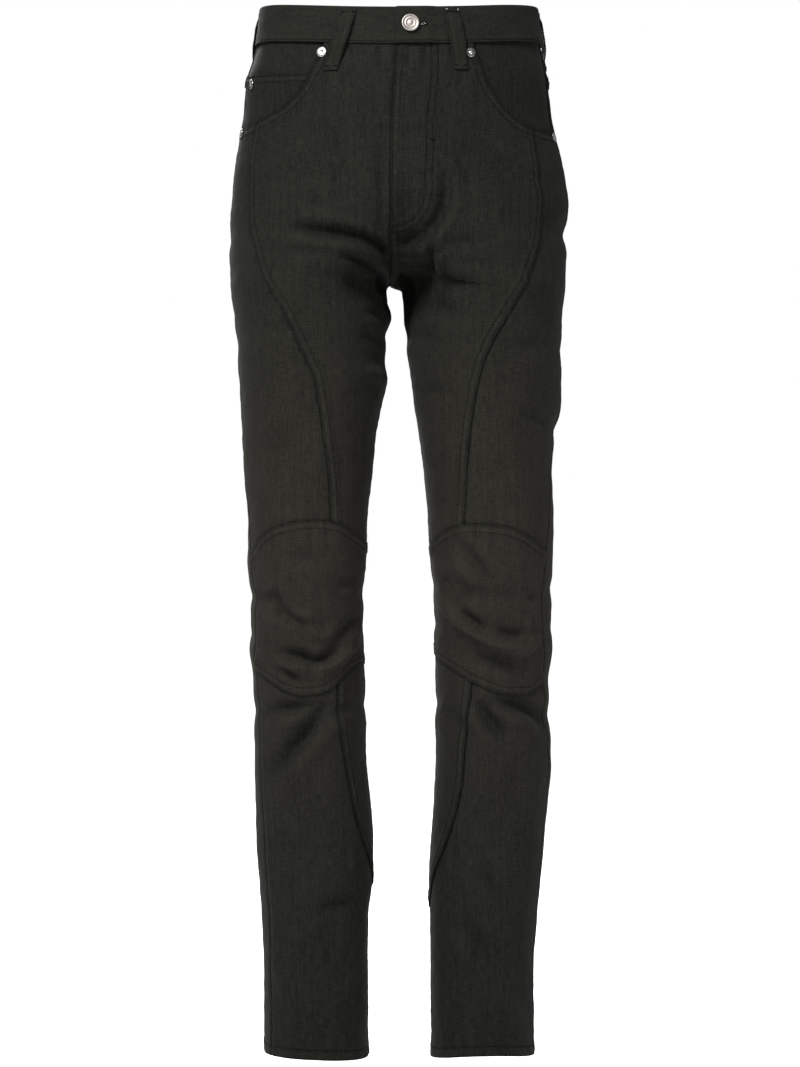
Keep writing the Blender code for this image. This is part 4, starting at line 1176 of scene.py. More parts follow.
    def floor(self) -> bpy.types.Material:
        """Pale matt floor with a faint unevenness."""
        if "floor" not in self.made:
            shader = Shader("pale_floor")
            tone = (shader.noise(shader.place(), 0.6) - 0.5) * 0.01 + 1.0
            seen = shader.node("ShaderNodeLightPath", None, None, "Is Camera Ray")
            self.made["floor"] = shader.finish(
                shader.tinted((0.80, 0.80, 0.80), tone), 0.9, specular=0.0, glow=0.8, shine=seen)
        return self.made["floor"]


@dataclass(frozen=True)
class SeamStyle:
    """Sizes of a sewn edge."""

    lap: float = 1.3
    lap_reach: float = 9.0
    fade: float = 4.5
    rows: tuple[float, ...] = (2.0, 8.0)
    channel: float = 0.62
    rope: float = 0.22
    rope_length: float = 8.0


SEAM = SeamStyle()


@dataclass
class Panel:
    """A cut piece of cloth laid on the form, with its sewn edges."""

    name: str
    body: Body
    plan: SeamPlan
    left: np.ndarray
    right: np.ndarray
    top: np.ndarray
    bottom: np.ndarray
    edges: dict[str, Edge]
    finish: Finish
    cell: float = 3.0
    wall: float = 0.95
    seed: int = 1
    sink: float = 0.0
    behind: bool = False
    rise: tuple[str, Edge] | None = None
    solids: tuple[str, ...] = ()
    rows: tuple[np.ndarray, ...] = ()
    grid: np.ndarray = field(init=False)
    dive: np.ndarray = field(init=False)

    def __post_init__(self) -> None:
        """Lay the grid of (angle, z) places out."""
        share_left, share_right = self.travelled(self.left), self.travelled(self.right)
        share_top, share_low = self.travelled(self.top), self.travelled(self.bottom)
        self.shares = (share_left, share_right, share_top, share_low)
        plain = np.linspace(0, 1, 41)
        coarse = self.coons(*np.meshgrid(plain, plain, indexing="xy"))
        points = self.plan.form.point(coarse[..., 0], coarse[..., 1])
        widths = np.linalg.norm(np.diff(points, axis=1), axis=-1).sum(axis=1)
        heights = np.linalg.norm(np.diff(points, axis=0), axis=-1).sum(axis=0)
        s_lines = self.lines(widths, self.edges["left"], self.edges["right"])
        t_lines = self.lines(heights, self.edges["top"], self.edges["bottom"])
        rows, cols = t_lines.shape[1], s_lines.shape[1]
        t_mean = t_lines.mean(axis=0)
        s_grid = np.stack([np.interp(t_mean, plain, s_lines[:, c]) for c in range(cols)], axis=1)
        s_mean = s_lines.mean(axis=0)
        t_grid = np.stack([np.interp(s_mean, plain, t_lines[:, r]) for r in range(rows)], axis=0)
        self.grid = self.coons(s_grid, t_grid)
        self.extend()

    @staticmethod
    def travelled(places: np.ndarray) -> np.ndarray:
        """Share of a run's length reached at each of its places."""
        steps = np.hypot(*(np.diff(places, axis=0) * (1.4, 1.0)).T)
        reached = np.concatenate([[0.0], np.cumsum(steps)])
        return reached / max(reached[-1], 1e-9)

    def coons(self, s: np.ndarray, t: np.ndarray) -> np.ndarray:
        """Places inside the four edges."""
        def on(run: np.ndarray, share: np.ndarray, at: np.ndarray) -> np.ndarray:
            """Places of a run at shares of its length."""
            return np.stack([np.interp(at, share, run[:, k]) for k in (0, 1)], axis=-1)

        left, right = on(self.left, self.shares[0], t), on(self.right, self.shares[1], t)
        top, low = on(self.top, self.shares[2], s), on(self.bottom, self.shares[3], s)
        a, b = s[..., None], t[..., None]
        corner = ((1 - a) * (1 - b) * self.top[0] + a * (1 - b) * self.top[-1]
                  + (1 - a) * b * self.bottom[0] + a * b * self.bottom[-1])
        return (1 - a) * left + a * right + (1 - b) * top + b * low - corner

    def lines(self, lengths: np.ndarray, first: Edge, last: Edge) -> np.ndarray:
        """Shares of the grid's lines, closer together at a sewn edge.

        Args:
            lengths: Length of each of the coarse lines that they cross.
            first: Edge at share 0.
            last: Edge at share 1.

        Returns:
            One row of shares for each coarse line.
        """
        sewn = (0.3, 0.9, 1.9, 3.2, 5.0, 6.8, 8.0, 9.2, 11.0)
        fine = {Edge.OVER: sewn, Edge.FOLD: sewn, Edge.HEM: (0.4, 1.2, 2.8, 5.4, 8.8, 10.0, 11.2),
                Edge.PLAIN: (0.5, 1.3, 2.6), Edge.UNDER: (0.8, 2.0), Edge.CAUGHT: (1.0, 2.0)}
        start, end = np.array(fine[first]), np.array(fine[last])
        middle = max(4, int((np.max(lengths) - start[-1] - end[-1]) / self.cell))
        found = []
        for length in lengths:
            squeeze = min(1.0, length / (1.6 * (start[-1] + end[-1])))
            near = start * squeeze / max(length, 1e-6)
            far = end * squeeze / max(length, 1e-6)
            inside = np.linspace(near[-1], 1 - far[-1], middle + 1)
            found.append(np.concatenate([[0.0], near[:-1], inside, 1 - far[-2::-1], [1.0]]))
        return np.array(found)

    def kind_at(self, edge: str, z: np.ndarray) -> list[Edge]:
        """How an edge is sewn at heights z; above the crotch the rise has its own way."""
        if self.rise and self.rise[0] == edge:
            return [self.rise[1] if height >= CROTCH_Z else self.edges[edge] for height in z]
        return [self.edges[edge]] * len(z)

    def extend(self) -> None:
        """Run the edges that go under a neighbour or into a seam on by a little."""
        reach = {Edge.UNDER: 4.0, Edge.PLAIN: 0.35}
        dive = {Edge.UNDER: 0.35, Edge.PLAIN: 0.75}
        form = self.plan.form
        self.dive = np.zeros(self.grid.shape[:2])
        for edge in self.edges:
            pick = {"left": (np.s_[:, 0], np.s_[:, 1]), "right": (np.s_[:, -1], np.s_[:, -2]),
                    "top": (np.s_[0], np.s_[1]), "bottom": (np.s_[-1], np.s_[-2])}[edge]
            here, inner = self.grid[pick[0]], self.grid[pick[1]]
            kinds = self.kind_at(edge, here[:, 1])
            distance = np.array([reach.get(kind, 0.0) for kind in kinds])
            if not distance.any():
                continue
            span = form.point(here[:, 0], here[:, 1]) - form.point(inner[:, 0], inner[:, 1])
            length = np.maximum(np.linalg.norm(span, axis=-1), 0.05)
            moved = here + (here - inner) * (distance / length)[:, None]
            sunk = np.array([dive.get(kind, 0.0) for kind in kinds])
            axis = 1 if edge in ("left", "right") else 0
            first = edge in ("left", "top")
            for name, added in (("grid", moved), ("dive", sunk)):
                whole = getattr(self, name)
                added = np.expand_dims(added, axis)
                parts = [added, whole] if first else [whole, added]
                setattr(self, name, np.concatenate(parts, axis=axis))

    def run_of(self, edge: str) -> np.ndarray:
        """The run of places along one edge."""
        return {"left": self.left, "right": self.right, "top": self.top, "bottom": self.bottom}[edge]

    def sewn_runs(self) -> list[tuple[Edge, np.ndarray]]:
        """Each sewn edge with its run of places; the rise is split from the inseam."""
        found = []
        for edge, kind in self.edges.items():
            run = self.run_of(edge)
            if self.rise and self.rise[0] == edge:
                above = run[:, 1] >= CROTCH_Z
                found.append((self.rise[1], run[above]))
                found.append((kind, run[~above]))
            else:
                found.append((kind, run))
        return found + [(Edge.ROW, run) for run in self.rows]

    def sewn_lift(self, points: np.ndarray) -> tuple[np.ndarray, np.ndarray]:
        """How the sewn edges lift and sink the cloth.

        Args:
            points: Places on the plain form, as rows.

        Returns:
            The lift, and the wear and painted shade there.
        """
        lift = np.zeros(len(points))
        worn = np.zeros(len(points))
        for number, (kind, run) in enumerate(self.sewn_runs()):
            line = self.plan.form.point(run[:, 0], run[:, 1])
            reached = np.concatenate([[0.0], np.cumsum(np.linalg.norm(np.diff(line, axis=0), axis=-1))])
            count = max(int(reached[-1] / 1.2), 8)
            at = np.linspace(0, reached[-1], count)
            line = np.stack([np.interp(at, reached, line[:, k]) for k in range(3)], axis=-1)
            low, high = line.min(0) - 18, line.max(0) + 18
            near = np.all((points > low) & (points < high), axis=1)
            index = np.flatnonzero(near)
            for block in np.array_split(index, max(1, len(index) * count // 6_000_000 + 1)):
                if len(block) == 0:
                    continue
                apart = np.linalg.norm(points[block][:, None] - line[None], axis=-1)
                nearest = apart.argmin(axis=1)
                gap = apart[np.arange(len(block)), nearest]
                raised, rub_and_shade = self.edge_profile(kind, gap, at[nearest], number)
                lift[block] += raised
                worn[block] += rub_and_shade
        return lift, worn

    def edge_profile(self, kind: Edge, gap: np.ndarray, along: np.ndarray,
                     number: int) -> tuple[np.ndarray, np.ndarray]:
        """Lift, wear and painted shade at a distance from one edge.

        Args:
            kind: How the edge is sewn.
            gap: Distance from the edge.
            along: Distance along it.
            number: Tells this edge's waves from the others'.

        Returns:
            The lift, and the wear with painted shade.
        """
        style, seed = SEAM, self.seed * 7 + number
        wave = ripple(along, gap * 0.6, style.rope_length, seed)
        slow = ripple(along, gap * 0.2, 46.0, seed + 50)
        rows = sum(bell(gap - row, 0.85) for row in style.rows)
        if kind in (Edge.OVER, Edge.FOLD):
            height = style.lap if kind is Edge.OVER else 0.7
            flat = 1 - smooth((gap - style.lap_reach) / style.fade)
            lift = height * flat * (1 + 0.12 * slow) - style.channel * rows
            lift += style.rope * wave * (bell(gap - 5, 3.2) + 0.5 * bell(gap - 12, 3.0))
            lift -= 0.65 * bell(gap, 0.5)
            worn = (0.30 + 0.35 * wave) * bell(gap - 4.8, 2.2) + 0.25 * bell(gap - 1.2, 0.7)
            # Painted shade: a dark line at the lapped edge and darker stitch rows.
            worn -= 3.0 * bell(gap, 0.7) + 0.8 * rows
            return lift, worn
        if kind is Edge.ROW:
            # Painted shade along a row of stitching inside the panel.
            return -0.35 * bell(gap, 1.0), -1.2 * bell(gap, 1.0)
        if kind is Edge.UNDER:
            lift = -0.55 * bell(gap, 3.4) + 0.18 * wave * bell(gap - 4, 4.0)
            # Painted shadow of the neighbour's lapped edge on this panel.
            return lift, -2.2 * bell(gap, 1.5)
        if kind is Edge.PLAIN:
            lift = -0.75 * bell(gap, 1.3) + 0.35 * bell(gap - 5, 3.4) * (1 + 0.5 * wave)
            # Lighter beside the seam, and painted shade in its groove.
            return lift, 0.35 * bell(gap - 3, 2.0) * (0.6 + wave) - 2.2 * bell(gap, 1.1)
        if kind is Edge.HEM:
            skew = ripple(along + gap * 0.9, gap * 0.0, 11.0, seed)
            flat = 1 - smooth((gap - 11) / 4)
            lift = 0.65 * flat - 0.5 * bell(gap, 0.6) - 0.45 * bell(gap - 10, 0.9)
            lift += 0.42 * skew * bell(gap - 5.5, 4.5)
            # Lighter on the hem's roping, and painted shade at the folded edge.
            worn = (0.5 + 0.5 * skew) * bell(gap - 5, 3.0) - 2.0 * bell(gap, 0.8)
            # Painted shade along the hem's stitch row.
            worn -= 1.0 * bell(gap - 10, 1.0)
            return lift, worn
        return np.zeros(len(gap)), np.zeros(len(gap))

    def laid(self, angle: np.ndarray, z: np.ndarray,
             extra: float | np.ndarray = 0.0) -> tuple[np.ndarray, ...]:
        """Places on the finished cloth."""
        points, normal, lift = self.body.surface(self.plan.form.side, angle, z)
        sewn, worn = self.sewn_lift(points)
        # Lighter on the fold ridges, and painted shade darker in the fold troughs.
        worn = worn + FOLD_WEAR_AND_SHADE * np.clip(lift, -8, 6)
        lift = lift + sewn + extra - self.sink
        return points + normal * lift[:, None], normal, worn

    def build(self, wardrobe: Wardrobe) -> None:
        """Make the piece, with its material from the wardrobe."""
        rows, cols = self.grid.shape[:2]
        angle, z = self.grid[..., 0].ravel(), self.grid[..., 1].ravel()
        points, _, worn = self.laid(angle, z, -self.dive.ravel())
        points = points.reshape(rows, cols, 3)
        # Painted light: lighter round the knees, darker towards the hips and the hem; then painted shade
        # round the crotch.
        worn = worn + PAINTED_LIGHT * (2 * bell(z + PAINTED_LIGHT_Z, PAINTED_LIGHT_REACH) - 1)
        apart = np.hypot(points[..., 0].ravel() - SHADE_X, (z - SHADE_Z) * 0.9)
        worn = worn - CROTCH_SHADE * bell(apart, SHADE_REACH)
        grain = self.plan.form.grain(angle, z, self.behind).reshape(rows, cols)
        cloth_map = np.stack([grain, points[..., 2]], axis=-1)
        word = self.plan.form.side.value
        lay_cloth(self.name, wardrobe, self.finish, points, cloth_map, worn.reshape(rows, cols),
                  self.wall, *(solid + "_" + word for solid in self.solids))


def placed(name: str, shape: bmesh.types.BMesh, material: bpy.types.Material) -> bpy.types.Object:
    """Turn a shape, which is freed, into a smooth object of the scene."""
    mesh = bpy.data.meshes.new(name)
    shape.to_mesh(mesh)
    shape.free()
    mesh.polygons.foreach_set("use_smooth", np.ones(len(mesh.polygons), dtype=bool))
    mesh.materials.append(material)
    piece = bpy.data.objects.new(name, mesh)
    bpy.context.scene.collection.objects.link(piece)
    return piece


def lay_cloth(name: str, wardrobe: Wardrobe, finish: Finish, points: np.ndarray, cloth_map: np.ndarray,
              worn: np.ndarray, wall: float, *solids: str) -> None:
    """Make a walled piece of cloth from a grid of points, dress it and log its cut.

    Args:
        name: The piece's name.
        wardrobe: Gives its material.
        finish: Its finish.
        points: Rows and columns of outer points, in millimetres.
        cloth_map: Place of each point on the cloth, in millimetres.
        worn: Wear of each point, with painted light and shade.
        wall: Thickness, in millimetres, laid inwards.
        solids: The solids that it stands for, if its name isn't its one solid's.
    """
    rows, cols = points.shape[:2]
    shape = bmesh.new()
    bmesh.ops.create_grid(shape, x_segments=cols - 1, y_segments=rows - 1, size=1.0)
    piece = placed(name, shape, wardrobe.twill(finish))
    mesh = piece.data
    mesh.vertices.foreach_set("co", (points.reshape(-1, 3) * MM).ravel())
    mesh.update()
    corners = np.zeros(len(mesh.loops), dtype=np.int32)
    mesh.loops.foreach_get("vertex_index", corners)
    layer = mesh.uv_layers.new(name="Cloth")
    layer.data.foreach_set("uv", (cloth_map.reshape(-1, 2)[corners] * MM).ravel())
    attribute = mesh.attributes.new("worn", "FLOAT", "POINT")
    attribute.data.foreach_set("value", worn.ravel().astype(np.float32))
    if outward_share(mesh) < 0.5:
        mesh.flip_normals()
    counts = np.zeros(len(mesh.edges), dtype=np.int32)
    loop_edges = np.zeros(len(mesh.loops), dtype=np.int32)
    mesh.loops.foreach_get("edge_index", loop_edges)
    np.add.at(counts, loop_edges, 1)
    sharp = mesh.attributes.new("sharp_edge", "BOOLEAN", "EDGE")
    sharp.data.foreach_set("value", counts == 1)
    thick = piece.modifiers.new("Cloth wall", "SOLIDIFY")
    thick.thickness = wall * MM
    thick.offset = -1.0
    thick.use_rim = True
    dress(piece, finish.slot, *(solids or (name,)))
    declare_sheet(piece, points)


def outward_share(mesh: bpy.types.Mesh) -> float:
    """Share of a leg piece's faces that point away from the leg's middle."""
    centre = np.zeros(len(mesh.polygons) * 3)
    normal = np.zeros(len(mesh.polygons) * 3)
    mesh.polygons.foreach_get("center", centre)
    mesh.polygons.foreach_get("normal", normal)
    centre, normal = centre.reshape(-1, 3) / MM, normal.reshape(-1, 3)
    side = np.where(centre[:, 0] > -6, 1.0, -1.0)
    middle_x = np.where(centre[:, 2] < CROTCH_Z, side * 92.0, side * 40.0)
    away = np.stack([centre[:, 0] - middle_x, centre[:, 1]], axis=-1)
    return float((np.einsum("ij,ij->i", away, normal[:, :2]) > 0).mean())


def dress(piece: bpy.types.Object, slot: str, *replaced: str) -> None:
    """Fix a piece to the body and hide the solids that it stands for."""
    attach(piece, BODY)
    if replaced:
        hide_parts(*replaced)


def declare_sheet(piece: bpy.types.Object, points: np.ndarray) -> None:
    """Log the cut of a piece of cloth: its width, length and area."""
    across = points[:, 1:] - points[:, :-1]
    down = points[1:] - points[:-1]
    width = float(np.linalg.norm(across, axis=-1).sum(axis=1).max()) * MM
    length = float(np.linalg.norm(down, axis=-1).sum(axis=0).max()) * MM
    cells = np.cross(across[:-1], down[:, :-1])
    area = float(np.linalg.norm(cells, axis=-1).sum()) * MM * MM
    area = min(max(area, 0.3 * width * length), width * length)
    log.info("%s cut %.3f x %.3f m, %.4f m2", piece.name, width, length, area)


@dataclass
class Stitching:
    """Sewn rows and bar tacks as small raised stitches."""

    pitch: float = 3.3
    length: float = 2.1
    thickness: float = 0.80
    wardrobe: Wardrobe = field(default_factory=Wardrobe)

    def sew(self, name: str, rows: list[tuple[np.ndarray, np.ndarray]], slot: str) -> None:
        """Lay stitches along rows of points."""
        shape = bmesh.new()
        for points, normals in rows:
            self.row(shape, points, normals)
        self.finish(name, shape, slot)

    def finish(self, name: str, shape: bmesh.types.BMesh, slot: str, pale: bool = False) -> None:
        """Turn laid stitches into a piece."""
        dress(placed(name, shape, self.wardrobe.thread(pale)), slot)

    def row(self, shape: bmesh.types.BMesh, points: np.ndarray, normals: np.ndarray) -> None:
        """Add one row of stitches."""
        reached = np.concatenate([[0.0], np.cumsum(np.linalg.norm(np.diff(points, axis=0), axis=-1))])
        count = int(reached[-1] / self.pitch)
        for k in range(count):
            middle = (k + 0.5) * self.pitch
            here, there = middle - self.length / 2, middle + self.length / 2
            low, high = self.at(points, reached, here), self.at(points, reached, there)
            up = Vector(self.at(normals, reached, middle)).normalized()
            self.stitch(shape, Vector(low), Vector(high), up)

    @staticmethod
    def at(values: np.ndarray, reached: np.ndarray, distance: float) -> list[float]:
        """Value at a distance along a row."""
        return [float(np.interp(distance, reached, values[:, k])) for k in range(3)]

    def stitch(self, shape: bmesh.types.BMesh, low: Vector, high: Vector, up: Vector,
               thickness: float | None = None) -> None:
        """Add one stitch between two points.

        Args:
            shape: The mesh that takes it.
            low: Where it starts, in millimetres.
            high: Where it ends.
            up: Outward direction.
            thickness: Its thickness, if it isn't the usual one.
        """
        thickness = thickness or self.thickness
        along = high - low
        half = along.length / 2
        if half < 1e-4:
            return
        along.normalize()
        across = up.cross(along).normalized()
        up = along.cross(across)
        middle = (low + high) / 2 + up * (thickness * 0.20)
        thick = thickness / 2
        frame = Matrix((
            (across.x * thick, up.x * thick, along.x * half, middle.x),
            (across.y * thick, up.y * thick, along.y * half, middle.y),
            (across.z * thick, up.z * thick, along.z * half, middle.z),
            (0.0, 0.0, 0.0, 1.0)))
        scale = Matrix.Scale(MM, 4)
        bmesh.ops.create_uvsphere(shape, u_segments=6, v_segments=4, radius=1.0, matrix=scale @ frame)

    def tack(self, shape: bmesh.types.BMesh, start: Vector, end: Vector, up: Vector, width: float) -> None:
        """Add a bar tack: close stitches across a short line."""
        along = end - start
        across = up.cross(along).normalized() * (width / 2)
        count = max(3, int(along.length / 0.55))
        for k in range(count):
            middle = start + along * ((k + 0.5) / count)
            lean = along.normalized() * (0.15 if k % 2 else -0.15)
            self.stitch(shape, middle - across - lean, middle + across + lean, up)


@dataclass
class Legs:
    """The panels of one side, from the waist to the hem."""

    body: Body
    plan: SeamPlan
    wardrobe: Wardrobe
    panels: dict[str, Panel] = field(init=False, default_factory=dict)

    def __post_init__(self) -> None:
        """Plan every panel of this side."""
        plan, side = self.plan, self.plan.form.side
        lines = plan.lines
        laps = side is Side.LEFT
        mouth_top = lines["mouth"][0]
        angle = np.linspace(0, mouth_top[0], 60)
        top = np.stack([angle, band_seam(angle)], axis=-1)
        outer = np.vstack([top[-1:], plan.joined("mouth", "thigh")[1:]])
        rise_kind = Edge.OVER if laps else Edge.UNDER
        fly = eased_places(FLY_CURVE, 240)
        self.add("front", (plan.joined("rise", "inseam_thigh"), outer, top, lines["knee_top_in"]),
                 (Edge.PLAIN, Edge.OVER, Edge.CAUGHT, Edge.UNDER), THIGH_TWILL,
                 cell=1.8 if laps else 2.8, seed=3 + laps, rise=("left", rise_kind),
                 solids=("front_hip", "front_crotch", "front_thigh"),
                 rows=(fly, plan.moved(fly, FLY_ROWS)) if laps else ())
        self.add("side_front", (lines["thigh"], lines["side_thigh"], lines["mouth_low"],
                                lines["knee_top_out"]),
                 (Edge.UNDER, Edge.PLAIN, Edge.FOLD, Edge.UNDER), THIGH_TWILL, cell=3.0, seed=5 + laps,
                 solids=("side_front_hip", "side_front_thigh", "side_front_low"))
        side_mouth = lines["side_mouth"].copy()
        angle = np.linspace(mouth_top[0], side_mouth[0][0], 60)
        top = np.stack([angle, band_seam(angle)], axis=-1)
        side_mouth[0] = top[-1]
        mouth = np.vstack([top[:1], lines["mouth"][1:]])
        self.add("pocket_facing", (mouth, side_mouth, top, lines["mouth_low"]),
                 (Edge.UNDER, Edge.PLAIN, Edge.CAUGHT, Edge.UNDER), SHADED_HIP_TWILL, cell=2.8, seed=7 + laps,
                 sink=1.5)
        self.add("knee", (lines["inseam_knee"], lines["side_knee"],
                          plan.joined("knee_top_in", "knee_top_out"),
                          plan.joined("knee_low_in", "knee_low_out")),
                 (Edge.PLAIN, Edge.PLAIN, Edge.OVER, Edge.OVER), LIT_KNEE_TWILL, cell=2.2, seed=9 + laps)
        tip_z = SEAM_END_Z[side]
        tip = np.stack([np.linspace(-90, -89.2, 10), np.full(10, tip_z)], axis=-1)
        shin_edge = lines["shin"].copy()
        shin_edge[-1] = tip[-1]
        self.add("gusset", (lines["inseam_gusset"], shin_edge, lines["knee_low_in"], tip),
                 (Edge.PLAIN, Edge.OVER, Edge.UNDER, Edge.CAUGHT), SHADED_SHIN_TWILL, cell=2.6, seed=11 + laps)
        angle = np.linspace(-90, lines["side_shin"][-1][0], 100)
        hem = np.stack([angle, hem_height(side, angle)], axis=-1)
        side_shin = np.vstack([lines["side_shin"][:-1], hem[-1:]])
        self.add("shin", (plan.joined("shin", "inseam_ankle"), side_shin, lines["knee_low_out"], hem),
                 (Edge.UNDER, Edge.PLAIN, Edge.UNDER, Edge.HEM), SHADED_SHIN_TWILL, cell=2.9, seed=13 + laps,
                 solids=("shin_calf", "shin_ankle"))
        self.plan_back(laps, rise_kind)

    def plan_back(self, laps: bool, rise_kind: Edge) -> None:
        """Plan the yoke and the back leg.

        Args:
            laps: True on the side that laps over the other.
            rise_kind: How the rise is sewn on this side.
        """
        plan, side = self.plan, self.plan.form.side
        lines = plan.lines
        seam = lines["side_yoke"].copy()
        angle = np.linspace(seam[0][0], 180, 120)
        top = np.stack([angle, band_seam(angle)], axis=-1)
        share = np.linspace(0, 1, 120)
        end = lines["yoke_centre"][-1]
        low = np.stack([seam[-1][0] + (end[0] - seam[-1][0]) * share,
                        seam[-1][1] + (end[1] - seam[-1][1]) * (0.75 * share + 0.25 * share ** 2)], axis=-1)
        seam[0] = top[0]
        lines["yoke_low"] = low
        centre = lines["yoke_centre"].copy()
        centre[0] = top[-1]
        self.add("yoke", (seam, centre, top, low),
                 (Edge.PLAIN, rise_kind, Edge.CAUGHT, Edge.OVER), SHADED_HIP_TWILL, cell=3.2, seed=15 + laps,
                 behind=True)
        inner = plan.back_inner()
        outer = lines["side_back"].copy()
        angle = np.linspace(outer[-1][0], 270, 140)
        hem = np.stack([angle, hem_height(side, angle)], axis=-1)
        outer[0], outer[-1] = low[0], hem[0]
        self.add("back", (outer, inner, low, hem),
                 (Edge.PLAIN, Edge.PLAIN, Edge.UNDER, Edge.HEM), THIGH_TWILL, cell=3.4, seed=17 + laps,
                 behind=True, rise=("right", rise_kind),
                 solids=("back_seat", "back_thigh", "back_low", "back_knee", "back_calf", "back_ankle"))

    def add(self, name: str, runs: tuple[np.ndarray, ...], edges: tuple[Edge, ...], finish: Finish,
            **more: object) -> None:
        """Plan a panel.

        Args:
            name: Its name without the side.
            runs: Its left, right, top and bottom runs.
            edges: How those four are sewn.
            finish: Its finish.
            more: Other sizes of the panel.
        """
        name = name + "_" + self.plan.form.side.value
        kinds = dict(zip(("left", "right", "top", "bottom"), edges))
        self.panels[name] = Panel(name, self.body, self.plan, *runs, kinds, finish, **more)

    def build(self) -> None:
        """Make every panel of this side."""
        for panel in self.panels.values():
            panel.build(self.wardrobe)

    def row_on(self, panel: str, run: np.ndarray, distance: float) -> tuple[np.ndarray, np.ndarray]:
        """A row of points on a panel beside a seam."""
        moved = self.plan.moved(run, distance) if distance else run
        points, normals, _ = self.panels[panel].laid(moved[:, 0], moved[:, 1])
        return points, normals

    def stitch_rows(self) -> dict[str, list[tuple[np.ndarray, np.ndarray]]]:
        """Rows of stitching on this side, grouped by the piece that they make."""
        side, lines = self.plan.form.side, self.plan.lines
        word, turn = side.value, side.sign
        found: dict[str, list[tuple[np.ndarray, np.ndarray]]] = {}
        front, knee, gusset = "front_" + word, "knee_" + word, "gusset_" + word
        rows = SEAM.rows
        outer = (lines["mouth"][14:], lines["thigh"])
        found["stitching_front_" + word] = [
            self.row_on(front, run, -turn * d) for d in rows for run in outer]
        found["stitching_mouth_end_" + word] = [
            self.row_on("side_front_" + word, lines["mouth_low"], -turn * d) for d in rows]
        found["stitching_knee_" + word] = [
            self.row_on(knee, lines["knee_top"], -turn * d) for d in rows]
        found["stitching_knee_" + word] += [
            self.row_on(knee, lines["knee_low"], turn * d) for d in rows]
        found["stitching_gusset_" + word] = [
            self.row_on(gusset, lines["shin"][:-16], -turn * d) for d in rows]
        found["stitching_yoke_" + word] = [
            self.row_on("yoke_" + word, lines["yoke_low"], turn * d) for d in rows]
        hems = []
        for name in ("shin_", "back_"):
            run = self.panels[name + word].bottom.copy()
            run[:, 1] += 10.0
            hems.append(self.row_on(name + word, run, 0.0))
        found["stitching_hem_" + word] = hems
        return found


@dataclass
class HipDetails:
    """Coin pocket, fly shield, fly stitching and bar tacks."""

    body: Body
    wardrobe: Wardrobe
    sides: dict[Side, Legs]
    stitching: Stitching
    shield_half: float = 21.0
    shield_end: float = -224.0
    shield_depth: float = 2.8
    shield_wall: float = 1.1

    def coin_pocket(self) -> Panel:
        """Plan the small pocket inside the wearer's right pocket mouth."""
        plan = self.sides[Side.RIGHT].plan
        corner = int(np.abs(plan.lines["mouth"][:, 1] + 79.5).argmin())
        left = plan.lines["mouth"][corner:]
        low = plan.lines["mouth_low"]
        low = low[low[:, 0] < 83.0]
        top = eased_places([left[0], (45, -77.6), (60, -75.4), (70, -73.6), (82, -72.6)])
        right = eased_places([top[-1], (82.4, -100), low[-1]])
        return Panel("coin_pocket_right", self.body, plan, left, right, top, low,
                     {"left": Edge.UNDER, "right": Edge.PLAIN, "top": Edge.FOLD, "bottom": Edge.UNDER},
                     SHADED_HIP_TWILL, cell=2.4, seed=31, sink=0.35)

    def build(self) -> None:
        """Make the pocket, the shield and their stitching."""
        pocket = self.coin_pocket()
        pocket.build(self.wardrobe)
        moved = [pocket.plan.moved(pocket.top, d) for d in (1.6, 8.2)]
        rows = [pocket.laid(run[:, 0], run[:, 1])[:2] for run in moved]
        self.stitching.sew("stitching_coin_pocket", rows, "denim_hips")
        self.shield()
        self.fly_rows()
        self.back_rise_rows()
        self.bar_tacks()

    def shield(self) -> None:
        """Strip of cloth behind the fly."""
        across = np.linspace(-self.shield_half, self.shield_half, 15)
        down = np.linspace(float(band_seam(0.0)), self.shield_end, 60)
        offset, z = np.meshgrid(across, down)
        form = self.body.forms[Side.LEFT]
        angle = form.start(z) + np.degrees(offset / form.section(z)[1])
        points, normals, lift = self.body.surface(Side.LEFT, angle.ravel(), z.ravel())
        points = (points + normals * (lift - self.shield_depth)[:, None]).reshape(*z.shape, 3)
        lay_cloth("fly_shield", self.wardrobe, SHADED_HIP_TWILL, points, np.stack([offset, z], axis=-1),
                  np.zeros(z.shape), self.shield_wall)

    def fly_rows(self) -> None:
        """The J of stitching beside the fly and the row along its edge."""
        legs = self.sides[Side.LEFT]
        inner = eased_places(FLY_CURVE, 240)
        rows = [legs.row_on("front_left", inner, d) for d in (0.0, FLY_ROWS)]
        rise = legs.plan.lines["rise"]
        rows.append(legs.row_on("front_left", rise[:-14], 1.6))
        low = rise[rise[:, 1] < FLY_END_Z][:-14]
        rows.append(legs.row_on("front_left", low, 7.2))
        self.stitching.sew("stitching_fly", rows, "denim_thigh")

    def back_rise_rows(self) -> None:
        """Two rows beside the back rise."""
        legs = self.sides[Side.LEFT]
        rows = []
        for distance in SEAM.rows:
            rows.append(legs.row_on("back_left", legs.plan.lines["rise_back"][:-24], -distance))
            rows.append(legs.row_on("yoke_left", legs.plan.lines["yoke_centre"], -distance))
        self.stitching.sew("stitching_back_rise", rows, "denim_thigh")

    def bar_tacks(self) -> None:
        """Short bars of close stitches where the strain is."""
        shape = bmesh.new()
        for side, panel, first, last, width in BAR_TACKS:
            places = np.array([first, last], dtype=float)
            points, normals, _ = self.sides[side].panels[panel].laid(places[:, 0], places[:, 1], 0.15)
            self.stitching.tack(shape, Vector(points[0]), Vector(points[1]),
                                Vector(normals.mean(axis=0)), width)
        self.stitching.finish("bar_tacks", shape, "denim_thigh")


